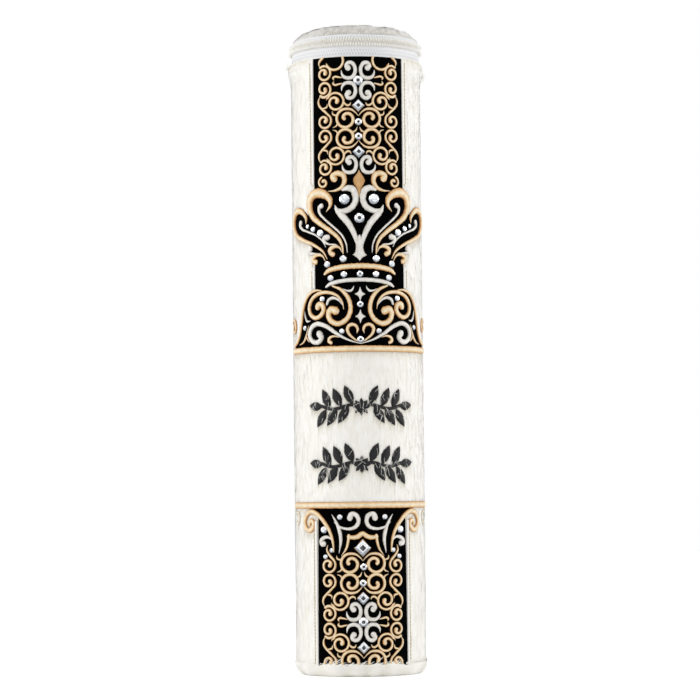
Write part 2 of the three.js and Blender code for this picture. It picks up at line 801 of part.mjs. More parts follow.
// The pull tab turns on the bridge and hangs down beside the case.
const tabOutline = new THREE.Shape();
const tabRound = tabWidth / 2;
tabOutline.moveTo(-tabKnuckleLength / 2, 0);
tabOutline.lineTo(-tabKnuckleLength / 2, -tabNeckLength);
tabOutline.lineTo(-tabRound, -tabShoulderLength);
tabOutline.lineTo(-tabRound, tabRound - tabLength);
tabOutline.absarc(0, tabRound - tabLength, tabRound, Math.PI, fullTurn, false);
tabOutline.lineTo(tabRound, -tabShoulderLength);
tabOutline.lineTo(tabKnuckleLength / 2, -tabNeckLength);
tabOutline.lineTo(tabKnuckleLength / 2, 0);
const tabHole = new THREE.Path();
const holeRound = tabHoleWidth / 2;
const holeHalf = tabHoleLength / 2 - holeRound;
tabHole.absarc(0, -tabHoleDepth - holeHalf, holeRound, Math.PI, fullTurn, false);
tabHole.absarc(0, -tabHoleDepth + holeHalf, holeRound, 0, Math.PI, false);
tabOutline.holes.push(tabHole);
const tabPlate = new THREE.ExtrudeGeometry(tabOutline, {
  depth: tabThickness,
  bevelEnabled: false,
  curveSegments: knuckleSides / 2,
});
tabPlate.translate(0, 0, -tabThickness / 2);
tabPlate.rotateX(quarterTurn);
tabPlate.translate(0, -bridgeCentre, 0);
const pull = asSolid(tabPlate)
  .add(bar(tabKnuckleRadius, tabKnuckleLength, 0, -bridgeCentre, 0))
  .subtract(bar(tabKnuckleBore, tabKnuckleLength + overrunLength, 0, -bridgeCentre, 0));
addPiece(pullGroup, "pull_tab", asGeometry(pull), nickel());

sliderGroup.add(pullGroup);
sliderGroup.position.z = partingHeight;
sliderGroup.rotation.z = sliderAngle;

const scrollCase = new THREE.Group();
scrollCase.add(caseGroup, lidGroup, sliderGroup);
export default scrollCase;
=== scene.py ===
import math

import bmesh
import bpy
import numpy as np
from mathutils import Matrix, Vector


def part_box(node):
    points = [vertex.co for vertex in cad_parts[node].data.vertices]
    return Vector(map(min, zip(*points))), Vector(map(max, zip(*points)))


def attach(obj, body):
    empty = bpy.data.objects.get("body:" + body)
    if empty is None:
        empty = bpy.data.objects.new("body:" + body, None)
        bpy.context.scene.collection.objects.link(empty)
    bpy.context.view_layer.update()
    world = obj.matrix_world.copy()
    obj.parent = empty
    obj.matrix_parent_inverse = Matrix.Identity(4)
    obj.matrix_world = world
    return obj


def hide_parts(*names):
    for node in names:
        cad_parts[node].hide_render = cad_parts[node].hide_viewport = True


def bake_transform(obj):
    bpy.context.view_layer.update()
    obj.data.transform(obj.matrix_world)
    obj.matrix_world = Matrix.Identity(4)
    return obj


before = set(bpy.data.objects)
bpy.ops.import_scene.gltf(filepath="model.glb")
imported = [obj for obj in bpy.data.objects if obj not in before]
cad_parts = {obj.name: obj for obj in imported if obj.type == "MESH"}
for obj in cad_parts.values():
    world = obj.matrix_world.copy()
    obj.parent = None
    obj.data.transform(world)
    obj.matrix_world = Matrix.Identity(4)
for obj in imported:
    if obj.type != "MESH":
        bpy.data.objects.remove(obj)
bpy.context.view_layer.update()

# Greyboard: the tube, the base and the stiffener of the lid are pressed paper board, wound or cut
# out and glued up before any cloth goes on. They are hard, so their solids stay as they are.
mm = 0.001


def linear(hex_colour):
    """The linear colour of an sRGB hex value."""
    parts = [int(hex_colour[i:i + 2], 16) / 255 for i in (1, 3, 5)]
    return [c / 12.92 if c <= 0.04045 else ((c + 0.055) / 1.055) ** 2.4 for c in parts] + [1]


def new_finish(name, colour, roughness, values=()):
    """A material with its shader's own sockets set to plain values."""
    made = bpy.data.materials.new(name)
    made.use_nodes = True
    shader = made.node_tree.nodes["Principled BSDF"]
    shader.inputs["Base Color"].default_value = linear(colour)
    shader.inputs["Roughness"].default_value = roughness
    for socket, value in dict(values).items():
        shader.inputs[socket].default_value = value
    return made


def add_node(finish, kind, settings=(), links=()):
    """Adds a node to a material: its settings by name, then its inputs joined to other sockets."""
    made = finish.node_tree.nodes.new("ShaderNode" + kind)
    for name, value in dict(settings).items():
        if name == "stops":
            ramp = made.color_ramp
            while len(ramp.elements) < len(value):
                ramp.elements.new(1)
            for stop, (place, colour) in zip(ramp.elements, value):
                stop.position = place
                stop.color = linear(colour)
        elif isinstance(name, str) and hasattr(made, name):
            setattr(made, name, value)
        else:
            made.inputs[name].default_value = value
    for name, socket in dict(links).items():
        finish.node_tree.links.new(socket, made.inputs[name])
    return made


def wire(finish, socket, value):
    """Joins a node's output to the shader."""
    shader = finish.node_tree.nodes["Principled BSDF"]
    finish.node_tree.links.new(value, shader.inputs[socket])


def patterned(name, colour, roughness, pattern, settings, stops, bump=(), mapping=(), values=()):
    """A material whose colour follows one pattern in Object coordinates. A bump, given as strength
    and depth in millimetres, raises the same pattern. A mapping turns or stretches it."""
    made = new_finish(name, colour, roughness, values)
    place = add_node(made, "TexCoord").outputs["Object"]
    if mapping:
        place = add_node(made, "Mapping", mapping, {"Vector": place}).outputs["Vector"]
    drawn = add_node(made, "Tex" + pattern, settings, {"Vector": place})
    level = drawn.outputs["Distance" if pattern == "Voronoi" else "Fac"]
    tone = add_node(made, "ValToRGB", {"stops": stops}, {"Fac": level})
    wire(made, "Base Color", tone.outputs["Color"])
    if bump:
        strength, depth = bump
        relief = add_node(made, "Bump", {"Strength": strength, "Distance": depth * mm}, {"Height": level})
        wire(made, "Normal", relief.outputs["Normal"])
    return made


def wear(piece, finish):
    """Gives a whole piece one material."""
    piece.data.materials.clear()
    piece.data.materials.append(finish)


# Pressed grey-brown board: matt, with paper fibres a few millimetres long.
greyboard = patterned(
    "pressed greyboard", "#A8977C", 0.92, "Noise", {"Scale": 1 / (2.5 * mm), "Detail": 6},
    [(0.3, "#94856C"), (0.5, "#A8977C"), (0.72, "#BBAC93")], bump=(0.35, 0.2),
)
for board in ("core_tube", "base_board", "lid_board"):
    wear(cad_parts[board], greyboard)

# Satin lining: ivory satin glued inside the tube and turned over its rim, and a thin padded disc
# on the floor. It is turned from a drawn outline, and the floor pad is crowned like a cushion.
lining_wall = 0.7 * mm
satin_fold = 0.25 * mm
rim_turn = 3.4 * mm
floor_crown = 0.5 * mm
weld_distance = 0.005 * mm
no_length = 1e-7
lining_low, lining_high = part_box("tube_lining")
lining_bore = lining_high.x - rim_turn
floor_low, floor_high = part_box("floor_pad")


def placed(name, data):
    """An object at the world origin that shows this data."""
    made = bpy.data.objects.new(name, data)
    bpy.context.scene.collection.objects.link(made)
    return made


def pick(*pieces):
    """Selects these pieces alone and makes the first one active."""
    bpy.ops.object.select_all(action="DESELECT")
    for piece in pieces:
        piece.select_set(True)
    bpy.context.view_layer.objects.active = pieces[0]


def smooth(piece, angle):
    """Shades a piece smoothly, except at edges sharper than the angle."""
    pick(piece)
    bpy.ops.object.shade_smooth_by_angle(angle=math.radians(angle))


def close_ends(piece):
    """Closes the open ends of a piece and turns its faces outwards."""
    shape = bmesh.new()
    shape.from_mesh(piece.data)
    bmesh.ops.dissolve_degenerate(shape, dist=no_length, edges=shape.edges)
    open_edges = [edge for edge in shape.edges if len(edge.link_faces) == 1]
    bmesh.ops.holes_fill(shape, edges=open_edges, sides=0)
    bmesh.ops.recalc_face_normals(shape, faces=shape.faces)
    shape.to_mesh(piece.data)
    shape.free()


def spun(name, outline, start=0, sweep=360, steps=96):
    """Spins an outline of (radius, height) points round the axis. A turn of zero is the front."""
    turn = math.radians(start)
    points = [(r * math.sin(turn), -r * math.cos(turn), z) for r, z in outline]
    drawn = bpy.data.meshes.new(name)
    drawn.from_pydata(points, [(i, i + 1) for i in range(len(points) - 1)], [])
    piece = placed(name, drawn)
    pick(piece)
    bpy.ops.object.mode_set(mode="EDIT")
    bpy.ops.mesh.select_all(action="SELECT")
    bpy.ops.mesh.spin(steps=steps, angle=math.radians(sweep), center=(0, 0, 0), axis=(0, 0, 1))
    bpy.ops.mesh.select_all(action="SELECT")
    bpy.ops.mesh.remove_doubles(threshold=weld_distance)
    bpy.ops.object.mode_set(mode="OBJECT")
    close_ends(piece)
    return piece


def dress(piece, finish, body, slot, angle, *nodes):
    """Gives a piece its material, its shading and its body, and hides the solids it stands for. The slot
    is not used.
    """
    wear(piece, finish)
    smooth(piece, angle)
    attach(piece, body)
    if nodes:
        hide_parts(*nodes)


# Polyester satin: long floats give a soft streaky shine along the warp.
lining_satin = patterned(
    "ivory polyester satin", "#EFE8D8", 0.42, "Noise", {"Scale": 1 / (0.6 * mm), "Detail": 3},
    [(0.3, "#E2D8C2"), (0.7, "#F5F0E4")], bump=(0.3, 0.1), mapping={"Scale": (1, 1, 0.12)},
    values={"Sheen Weight": 0.25, "Sheen Roughness": 0.4},
)
lining = spun("tube_satin", [
    (lining_bore, lining_low.z),
    (lining_bore + lining_wall, lining_low.z),
    (lining_bore + lining_wall, lining_high.z - lining_wall),
    (lining_high.x, lining_high.z - lining_wall),
    (lining_high.x, lining_high.z - satin_fold),
    (lining_high.x - satin_fold, lining_high.z),
    (lining_bore + satin_fold * 2, lining_high.z),
    (lining_bore, lining_high.z - satin_fold * 2),
    (lining_bore, lining_low.z),
])
dress(lining, lining_satin, "case", "lining_satin", 50, "tube_lining")

pad_radius = floor_high.x
floor_pad = spun("floor_cushion", [
    (0, floor_low.z),
    (pad_radius - 0.4 * mm, floor_low.z),
    (pad_radius, floor_low.z + 0.5 * mm),
    (pad_radius - 0.2 * mm, floor_low.z + 1.0 * mm),
    (pad_radius * 0.9, floor_high.z - floor_crown),
    (pad_radius * 0.6, floor_high.z - floor_crown * 0.3),
    (0, floor_high.z),
])
dress(floor_pad, lining_satin, "case", "lining_satin", 40, "floor_pad")

# Hide on the tube: one sheet of short white hair-on hide wrapped round the board, its edges
# butted and sewn down the back, and its top folded in to a thick hem under the zip.
case_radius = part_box("base_welt")[1].x
ornament_radius = 35 * mm
skin_thickness = 1.3 * mm
hide_low, hide_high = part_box("body_hide")
hem_depth = 11.5 * mm
hem_fold = 9.8 * mm
hem_swell = 1.7 * mm
hem_swell_shares = [(0, 0), (0.35, 0.45), (0.65, 1), (0.87, 0.9), (1, 0.4)]
hem_foot = hide_high.z - hem_depth
flat_front_half = 26.5
hem_fade = 9.0
far_round = 100
least_swell = 0.02
just_outside = 0.01 * mm
seam_half_angle = 0.5


def swell(u, height):
    """How far the hem stands out at a height. It lies flat where the satin holds it down."""
    up = (np.asarray(height) - hem_foot) / hem_depth
    shares = np.array(hem_swell_shares)
    beside = np.clip((np.abs(u) - flat_front_half) / hem_fade, 0, 1)
    return hem_swell * np.interp(up, shares[:, 0], shares[:, 1]) * beside**2 * (3 - 2 * beside)


# Skin under the hair: matt ivory, only seen where the hair parts.
skin = patterned(
    "ivory hide under the hair", "#F4F1E9", 0.85, "Noise", {"Scale": 1 / (0.5 * mm), "Detail": 4},
    [(0.3, "#DCD5C3"), (0.5, "#EBE6D9"), (0.75, "#F6F3EA")], bump=(0.5, 0.3),
    mapping={"Scale": (1, 1, 0.08)},
)
hem_levels = [hem_foot + up * hem_depth for up, _ in hem_swell_shares]
outer_line = [
    (case_radius, hide_low.z + 0.6 * mm),
    *[(case_radius + float(swell(far_round, z)), z) for z in hem_levels[:-1]],
    (case_radius + hem_swell * 0.75, hide_high.z - 0.5 * mm),
    (case_radius + hem_swell * 0.4, hide_high.z),
]
inner_line = [
    (case_radius - 0.3 * mm, hide_high.z - 0.4 * mm),
    (case_radius - 0.3 * mm, hide_high.z - hem_fold),
    (case_radius - skin_thickness, hem_foot - 1.5 * mm),
    (case_radius - skin_thickness, hide_low.z),
    (case_radius - 0.5 * mm, hide_low.z),
]
body_skin = spun("hide_body", outer_line + inner_line + outer_line[:1],
                 start=-180 + seam_half_angle, sweep=360 - 2 * seam_half_angle, steps=144)
for vert in body_skin.data.vertices:
    reach = math.hypot(vert.co.x, vert.co.y)
    if reach > case_radius + just_outside:
        u = math.atan2(vert.co.x, -vert.co.y) * ornament_radius / mm
        share = float(swell(u, vert.co.z) / max(1e-9, swell(far_round, vert.co.z)))
        flat = case_radius + (reach - case_radius) * min(1, max(least_swell, share))
        vert.co.x *= flat / reach
        vert.co.y *= flat / reach
dress(body_skin, skin, "case", "hair_hide", 50, "body_hide")

# Base: a disc of hide under the case, and the rolled welt of hide that rounds the bottom corner
# and hides the edge of the disc.
welt_corner = 6.4 * mm
welt_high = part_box("base_welt")[1]
disc_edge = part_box("base_hide")[1].x + 0.3 * mm
disc = spun("hide_base", [
    (0, 0.15 * mm), (disc_edge - 0.8 * mm, 0.15 * mm), (disc_edge - 0.3 * mm, 0.5 * mm),
    (disc_edge - 0.3 * mm, skin_thickness), (0, skin_thickness),
])
dress(disc, skin, "case", "hair_hide", 50, "base_hide")
welt_arc = [
    (case_radius - welt_corner + welt_corner * math.sin(math.radians(a)),
     welt_corner - welt_corner * math.cos(math.radians(a)))
    for a in range(0, 91, 15)
]
welt = spun("hide_welt", [
    (disc_edge, skin_thickness),
    (disc_edge + 0.2 * mm, 0.1 * mm),
    *welt_arc,
    (case_radius, welt_high.z - 0.3 * mm),
    (case_radius - 0.4 * mm, welt_high.z),
    (case_radius - skin_thickness, welt_high.z - 0.2 * mm),
    (case_radius - 2 * mm, welt_corner * 0.75),
    (case_radius - welt_corner * 0.6, skin_thickness * 1.2),
    (disc_edge, skin_thickness),
])
dress(welt, skin, "case", "hair_hide", 60, "base_welt")

# Satin front: two patches of black satin cut to shape and sewn down over the hide. The upper one
# is a bell, a crown and a strip up to the zip, and the lower one is a strip under the second bar.
satin_lift = 0.35 * mm
satin_thickness = 0.25 * mm
strip_half = 25.75
satin_foot = 5.8
patch_half = 48
column_step = 2
level_step = 3
cut_tolerance = 1e-5
joint_tolerance = 1e-3
bar_half = 1.65
upper_bar_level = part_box("upper_gold_bar")[0].z / mm + bar_half
lower_bar_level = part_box("lower_gold_bar")[0].z / mm + bar_half
zip_edge = hide_high.z / mm
crown_side = [
    (-strip_half, 255.0), (-27.2, 251.6), (-29.3, 248.6), (-29.6, 244.6), (-28.2, 241.2),
    (-30.6, 241.0), (-32.0, 242.6), (-34.2, 244.0), (-38.6, 245.6), (-43.2, 244.9),
    (-46.6, 240.5), (-46.4, 235.8), (-42.2, 231.6), (-34.5, 228.4), (-28.6, 226.2),
    (-30.2, 224.2), (-29.6, 222.0), (-26.6, 220.4), (-27.2, 217.8), (-strip_half, 215.4),
]
bell_side = [
    (-strip_half, 201.6), (-30.0, 199.6), (-33.6, 195.5), (-35.7, 190.0), (-37.2, 184.0),
    (-38.8, 179.0), (-41.5, 175.6), (-45.6, 173.6), (-46.6, 171.2),
]
corner_side = [
    (-25.1, 82.6), (-26.0, 84.4), (-28.6, 85.9), (-31.2, 86.6), (-31.2, lower_bar_level - 0.6),
]
upper_side = [(-strip_half, zip_edge), *crown_side, *bell_side]
lower_side = [(-strip_half, satin_foot), *corner_side]


def on_case(u, z, lift):
    """Places on the front: u is the way round in millimetres, z the height in millimetres."""
    u, z, lift = np.broadcast_arrays(u, z, lift)
    turn = u * mm / ornament_radius
    reach = case_radius + swell(u, z * mm) + lift
    return np.stack([reach * np.sin(turn), -reach * np.cos(turn), z * mm], axis=-1)


def with_mirror(side):
    """The whole outline of a patch from its left side."""
    return side + [(-u, z) for u, z in reversed(side)]


def patch(name, side):
    """A flat patch with this left side, cut into strips and wrapped on the case."""
    shape = bmesh.new()
    shape.faces.new([shape.verts.new((u, z, 0)) for u, z in with_mirror(side)])
    bmesh.ops.triangulate(shape, faces=shape.faces)
    levels = [int(z) + 1 for _, z in side]
    cuts = [((u, 0, 0), (1, 0, 0)) for u in range(-patch_half, patch_half + 1, column_step)]
    cuts += [((0, z, 0), (0, 1, 0)) for z in range(min(levels), max(levels), level_step)]
    for place, normal in cuts:
        parts = shape.verts[:] + shape.edges[:] + shape.faces[:]
        bmesh.ops.bisect_plane(shape, geom=parts, plane_co=place, plane_no=normal,
                               dist=cut_tolerance)
    bmesh.ops.remove_doubles(shape, verts=shape.verts, dist=joint_tolerance)
    for vert in shape.verts:
        vert.co = on_case(vert.co.x, vert.co.y, satin_lift)
    bmesh.ops.recalc_face_normals(shape, faces=shape.faces)
    face = max(shape.faces, key=lambda one: one.calc_area())
    if face.normal.dot(face.calc_center_median() * Vector((1, 1, 0))) < 0:
        bmesh.ops.reverse_faces(shape, faces=shape.faces)
    made = bpy.data.meshes.new(name)
    shape.to_mesh(made)
    shape.free()
    piece = placed(name, made)
    thick = piece.modifiers.new("cloth", "SOLIDIFY")
    thick.thickness = satin_thickness
    thick.offset = -1
    pick(piece)
    bpy.ops.object.modifier_apply(modifier=thick.name)
    return piece


# A wave texture with a scale of 1 draws about this many bands in a metre.
bands_per_metre = 3.14
# Black polyester satin: nearly black, with a fine slanting weave and a soft low shine. The thread
# spacing of 0.5 mm is about three times the real one, so that it shows.
black_satin = patterned(
    "black polyester satin", "#030304", 0.8, "Wave",
    {"Scale": 1 / (0.5 * mm) / bands_per_metre, "Distortion": 1.2, "Detail": 1, "Detail Scale": 2},
    [(0.2, "#000000"), (0.8, "#070709")], bump=(0.4, 0.08),
    mapping={"Rotation": (0, math.radians(52), 0)}, values={"Specular IOR Level": 0.008},
)
for name, node, side in (("satin_upper", "upper_panel", upper_side),
                         ("satin_lower", "lower_panel", lower_side)):
    piece = patch(name, side)
    dress(piece, black_satin, "case", "black_satin", 60, node)
    u, z = np.array(with_mirror(side)).T

# Ribbon edging: narrow white ribbon laid on the seam at each straight side of the satin, and a
# beige row of lock stitch that holds its outer edge down to the hide.
ribbon_width = 1.7
ribbon_rise = 0.75 * mm
ribbon_lift = 0.05 * mm
ribbon_section = [(0, 0), (0.02, 0.6), (0.12, 1), (0.88, 1), (0.98, 0.6), (1, 0)]
ribbon_step = 1.5
seam_offset = 0.75
seam_half = 0.26
seam_pitch = 1.9
seam_share = 0.94
seam_lift = 0.3
bead_sides = 6
ribbon_runs = [
    ("upper", 257.2, zip_edge - 0.1), ("waist", 202.4, 213.6), ("lower", satin_foot + 0.4, 81.0),
]


def mesh_piece(name, points, faces):
    """An object made from arrays of points and of faces that all have as many corners."""
    faces = np.asarray(faces, np.int32)
    corners = faces.shape[1]
    made = bpy.data.meshes.new(name)
    made.vertices.add(len(points))
    made.vertices.foreach_set("co", np.asarray(points, np.float32).ravel())
    made.loops.add(faces.size)
    made.loops.foreach_set("vertex_index", faces.ravel())
    made.polygons.add(len(faces))
    made.polygons.foreach_set("loop_start", np.arange(0, faces.size, corners, dtype=np.int32))
    made.update(calc_edges=True)
    return placed(name, made)


def grid_piece(name, rows):
    """A closed tube from rows of points, each row one turn round it."""
    rows = np.asarray(rows, float)
    index = np.arange(rows.shape[0] * rows.shape[1]).reshape(rows.shape[:2])
    near = np.roll(index, -1, axis=1)
    faces = np.stack([index[:-1], near[:-1], near[1:], index[1:]], axis=-1).reshape(-1, 4)
    return mesh_piece(name, rows.reshape(-1, 3), faces)


def bead_faces(stations, sides, count):
    """The faces round a number of equal beads, each a row of rings of points."""
    ring, corner = np.meshgrid(np.arange(stations - 1), np.arange(sides), indexing="ij")
    a = ring * sides + corner
    b = ring * sides + (corner + 1) % sides
    face = np.stack([a, a + sides, b + sides, b], axis=-1).reshape(-1, 4)
    return ((np.arange(count) * stations * sides)[:, None, None] + face).reshape(-1, 4)


# Grosgrain ribbon: white, with fine cross ribs.
ribbon_white = patterned(
    "white grosgrain ribbon", "#F6F4EF", 0.6, "Wave",
    {"bands_direction": "Z", "Scale": 1 / (0.55 * mm) / bands_per_metre, "Distortion": 0.4},
    [(0, "#E9E6DE"), (0.6, "#F8F6F2")], bump=(0.5, 0.12), values={"Sheen Weight": 0.1},
)
# Spun polyester thread: beige, in short slanting stitches.
beige_thread = patterned(
    "beige spun polyester thread", "#CDBD9B", 0.7, "Noise", {"Scale": 1 / (0.5 * mm), "Detail": 2},
    [(0.3, "#B7A47F"), (0.7, "#E0D3B6")],
)


def ribbon(name, side, foot, top):
    """A raised ribbon with rounded edges, from foot to top on one side."""
    levels = np.arange(foot, top + 0.01, (top - foot) / max(2, round((top - foot) / ribbon_step)))
    share, rise = np.array(ribbon_section).T
    rows = on_case(side * (strip_half + share * ribbon_width), levels[:, None],
                   ribbon_lift + rise * ribbon_rise)
    return grid_piece(name, rows[:, ::-1] if side < 0 else rows)


def lock_stitch(name, side, foot, top):
    """A row of short raised stitches, each a six-sided bead."""
    turn = np.radians(np.arange(0, 360, 360 / bead_sides))
    along = np.array([0, 0.2, 0.8, 1]) * seam_pitch * seam_share
    half = np.array([0.3, 1, 1, 0.3])[:, None] * seam_half
    lows = np.arange(foot, top - seam_pitch, seam_pitch)
    middle = side * (strip_half + ribbon_width + seam_offset)
    points = on_case(middle + half * np.cos(turn) * side, (along + lows[:, None])[:, :, None],
                     (seam_lift + np.sin(turn) * half) * mm)
    faces = bead_faces(len(along), bead_sides, len(lows))
    faces = np.roll(faces[:, ::-1], 1, axis=1) if side > 0 else faces
    return mesh_piece(name, points.reshape(-1, 3), faces)


for run, foot, top in ribbon_runs:
    for word, side in (("left", -1), ("right", 1)):
        strip = ribbon(f"ribbon_{run}_{word}", side, foot, top)
        dress(strip, ribbon_white, "case", "ribbon", 50, f"edging_{run}_{word}")
        row = lock_stitch(f"ribbon_seam_{run}_{word}", side, foot, top)
        dress(row, beige_thread, "case", "ribbon", 60)

# Satin-stitch scrollwork: shiny rayon thread laid side by side across each line over a padding
# stitch, in gold, silver grey and white. The drawing is a mirrored arabesque of curls and commas.
stitch_step = 0.45
spline_steps = 12
stitch_section = np.array([-1, -0.86, -0.5, 0, 0.5, 0.86, 1])
stitch_lift = 0.38 * mm
least_crown = 0.18
crown_gain = 0.5
widest_crown = 1.9
ragged_edge = 0.09
uneven_lay = 0.03
end_turns = np.radians([30, 55, 75])
shortest_run = 3
curl_points = 20
curl_shrink = 0.8
bulb_start = 0.8
thread_pitch = 0.5
whole_height = 400.0
hearts_level = 285.7
rosette_level = 310.9
repeat = 50.3


def run_along(line):
    """The length along a line up to each of its points."""
    return np.concatenate([[0], np.cumsum(np.hypot(*np.diff(line[:, :2], axis=0).T))])


def smooth_line(points, step):
    """A smooth spline through (u, z, half width) points, with a sample at every step."""
    p = np.asarray(points, float)
    p = np.vstack([2 * p[0] - p[1], p, 2 * p[-1] - p[-2]])
    samples = []
    for a, b, c, d in zip(p, p[1:], p[2:], p[3:]):
        gaps = [max(np.hypot(*(q - r)[:2]) ** 0.5, 1e-3) for q, r in ((b, a), (c, b), (d, c))]
        enter = (b - a) / gaps[0] - (c - a) / (gaps[0] + gaps[1]) + (c - b) / gaps[1]
        leave = (c - b) / gaps[1] - (d - b) / (gaps[1] + gaps[2]) + (d - c) / gaps[2]
        t = np.linspace(0, 1, spline_steps, endpoint=False)[:, None]
        at_b, at_c = 2 * t**3 - 3 * t**2 + 1, 3 * t**2 - 2 * t**3
        from_b, into_c = t**3 - 2 * t**2 + t, t**3 - t**2
        samples.append(at_b * b + from_b * enter * gaps[1] + at_c * c + into_c * leave * gaps[1])
    line = np.vstack(samples + [p[-2:-1]])
    run = run_along(line)
    at = np.linspace(0, run[-1], max(4, round(run[-1] / step)))
    return np.stack([np.interp(at, run, line[:, k]) for k in range(3)], axis=-1)


def curl(u, z, radius, start, sweep, half=0.6, bulb=1.25):
    """A spiral that winds inwards round (u, z) and ends in a small round bulb. Angles in degrees."""
    share = np.linspace(0, 1, curl_points)
    turn = np.radians(start + sweep * share)
    reach = radius * (1 - curl_shrink * share**2.2)
    swollen = np.clip((share - bulb_start) / (1 - bulb_start), 0, 1)
    width = half * (1 + 0.25 * share) + (bulb - half * 1.25) * swollen
    return list(zip(u + reach * np.cos(turn), z + reach * np.sin(turn), width))


def flipped(lines, level):
    """The same lines turned upside down about a level."""
    return [[(u, 2 * level - z, w) for u, z, w in line] for line in lines]


def moved(lines, rise):
    """The same lines set higher by the rise."""
    return [[(u, z + rise, w) for u, z, w in line] for line in lines]


def both_sides(lines):
    """The lines of the left side and their mirror images on the right."""
    return lines + [[(-u, z, w) for u, z, w in line] for line in lines]


def across(half_line):
    """A line that crosses the middle: the given left half and its mirror."""
    return half_line + [(-u, z, w) for u, z, w in reversed(half_line) if u]


def sewn(name, lines, finish, slot, *nodes, foot=0.0, top=whole_height, rise=1.0, seed=1):
    """One piece of embroidery: each line is a row of raised threads with rounded ends."""
    chance = np.random.default_rng(seed)
    points, faces, uvs, runs = [], [], [], []
    total = 0
    t = stitch_section
    for line in lines:
        path = smooth_line(line, stitch_step)
        inside = (path[:, 1] >= foot) & (path[:, 1] <= top)
        parts = np.split(path, np.flatnonzero(np.diff(inside.astype(int))) + 1)
        runs += [run for run in parts if foot <= run[0, 1] <= top and len(run) > shortest_run]
    for path in runs:
        ahead = np.gradient(path[:, :2], axis=0)
        ahead /= np.maximum(np.hypot(*ahead.T), 1e-6)[:, None]
        caps = []
        for end, sign in ((0, -1), (-1, 1)):
            half = path[end, 2]
            turn = end_turns[::sign]
            spots = path[end, :2] + sign * ahead[end] * (half * np.sin(turn))[:, None]
            caps.append(np.column_stack([spots, half * np.cos(turn)]))
        ahead = np.vstack([[ahead[0]] * len(end_turns), ahead, [ahead[-1]] * len(end_turns)])
        path = np.vstack([caps[0], path, caps[1]])
        ragged = 1 + chance.uniform(-ragged_edge, ragged_edge, (len(path), 2))
        half = path[:, 2:] * np.where(t < 0, ragged[:, :1], ragged[:, 1:])
        u = path[:, :1] - ahead[:, 1:] * half * t
        z = path[:, 1:2] + ahead[:, :1] * half * t
        broad = np.clip(path[:, 2:], 0, widest_crown)
        crown = (least_crown + crown_gain * broad**0.8) * mm * rise
        lift = stitch_lift + crown * (1 - np.abs(t) ** 2.4) ** 0.5
        lift += chance.uniform(0, uneven_lay, (len(path), 1)) * mm
        points.append(on_case(u, z, lift).reshape(-1, 3))
        index = total + np.arange(u.size).reshape(u.shape)
        quads = np.stack([index[:-1, :-1], index[1:, :-1], index[1:, 1:], index[:-1, 1:]], axis=-1)
        faces.append(quads.reshape(-1, 4))
        side, along = np.broadcast_arrays((t + 1) / 2, run_along(path)[:, None])
        uvs.append(np.stack([side, along], axis=-1).reshape(-1, 2))
        total += u.size
    piece = mesh_piece(name, np.concatenate(points), np.concatenate(faces)[:, ::-1])
    layer = piece.data.uv_layers.new(name="Thread")
    corner = np.empty(len(piece.data.loops), np.int32)
    piece.data.loops.foreach_get("vertex_index", corner)
    layer.data.foreach_set("uv", np.concatenate(uvs)[corner].astype(np.float32).ravel())
    dress(piece, finish, "case", slot, 70, *nodes)


def rayon(name, edge, middle, light, roughness):
    """Rayon embroidery thread, its stitches across the line, with painted shade at its edges and a
    painted highlight in its middle.
    """
    made = new_finish(name, middle, roughness, {"Sheen Weight": 0.15, "Specular IOR Level": 0.6})
    place = add_node(made, "UVMap", {"uv_map": "Thread"})
    axes = add_node(made, "SeparateXYZ", (), {"Vector": place.outputs["UV"]})
    # Across the line: painted shade at the edges, the thread's own colour, and a painted highlight in the
    # middle
    side = add_node(made, "ValToRGB", {"stops": [
        (0, edge), (0.16, middle), (0.5, light), (0.84, middle), (1, edge),
    ]}, {"Fac": axes.outputs["X"]})
    # The stitches lie 0.5 mm apart, about twice the real spacing, so that they show.
    slant = add_node(made, "Math", {"operation": "MULTIPLY_ADD", 1: 0.35}, {
        0: axes.outputs["X"], 2: axes.outputs["Y"],
    })
    beat = add_node(made, "Math", {"operation": "MULTIPLY", 1: 2 * math.pi / thread_pitch}, {
        0: slant.outputs["Value"],
    })
    wave = add_node(made, "Math", {"operation": "SINE"}, {0: beat.outputs["Value"]})
    thread = add_node(made, "MapRange", {"From Min": -1}, {"Value": wave.outputs["Value"]})
    spot = add_node(made, "TexCoord")
    patchy = add_node(made, "TexNoise", {"Scale": 1 / (2.2 * mm), "Detail": 3}, {
        "Vector": spot.outputs["Object"],
    })
    shade = add_node(made, "ValToRGB", {
        "stops": [(0.3, "#D2C8BA"), (0.62, "#FFFFFF")],
    }, {"Fac": patchy.outputs["Fac"]})
    tinted = add_node(made, "Mix", {"data_type": "RGBA", "blend_type": "MULTIPLY", 0: 0.45}, {
        6: side.outputs["Color"], 7: shade.outputs["Color"],
    })
    # The gaps between the stitches are painted darker, as painted shade in the grooves
    painted_groove_shade = add_node(made, "ValToRGB", {
        "stops": [(0, "#C2B4A2"), (0.55, "#FFFFFF")],
    }, {"Fac": thread.outputs["Result"]})
    lined = add_node(made, "Mix", {"data_type": "RGBA", "blend_type": "MULTIPLY", 0: 0.4}, {
        6: tinted.outputs[2], 7: painted_groove_shade.outputs["Color"],
    })
    bump = add_node(made, "Bump", {"Strength": 0.5, "Distance": 0.12 * mm}, {
        "Height": thread.outputs["Result"],
    })
    wire(made, "Base Color", lined.outputs[2])
    wire(made, "Normal", bump.outputs["Normal"])
    return made


# Each thread: its painted edge shade, its own colour, its painted highlight, and its roughness
gold_rayon = rayon("gold rayon thread", "#BE7830", "#F4CB8D", "#FFF6DC", 0.42)
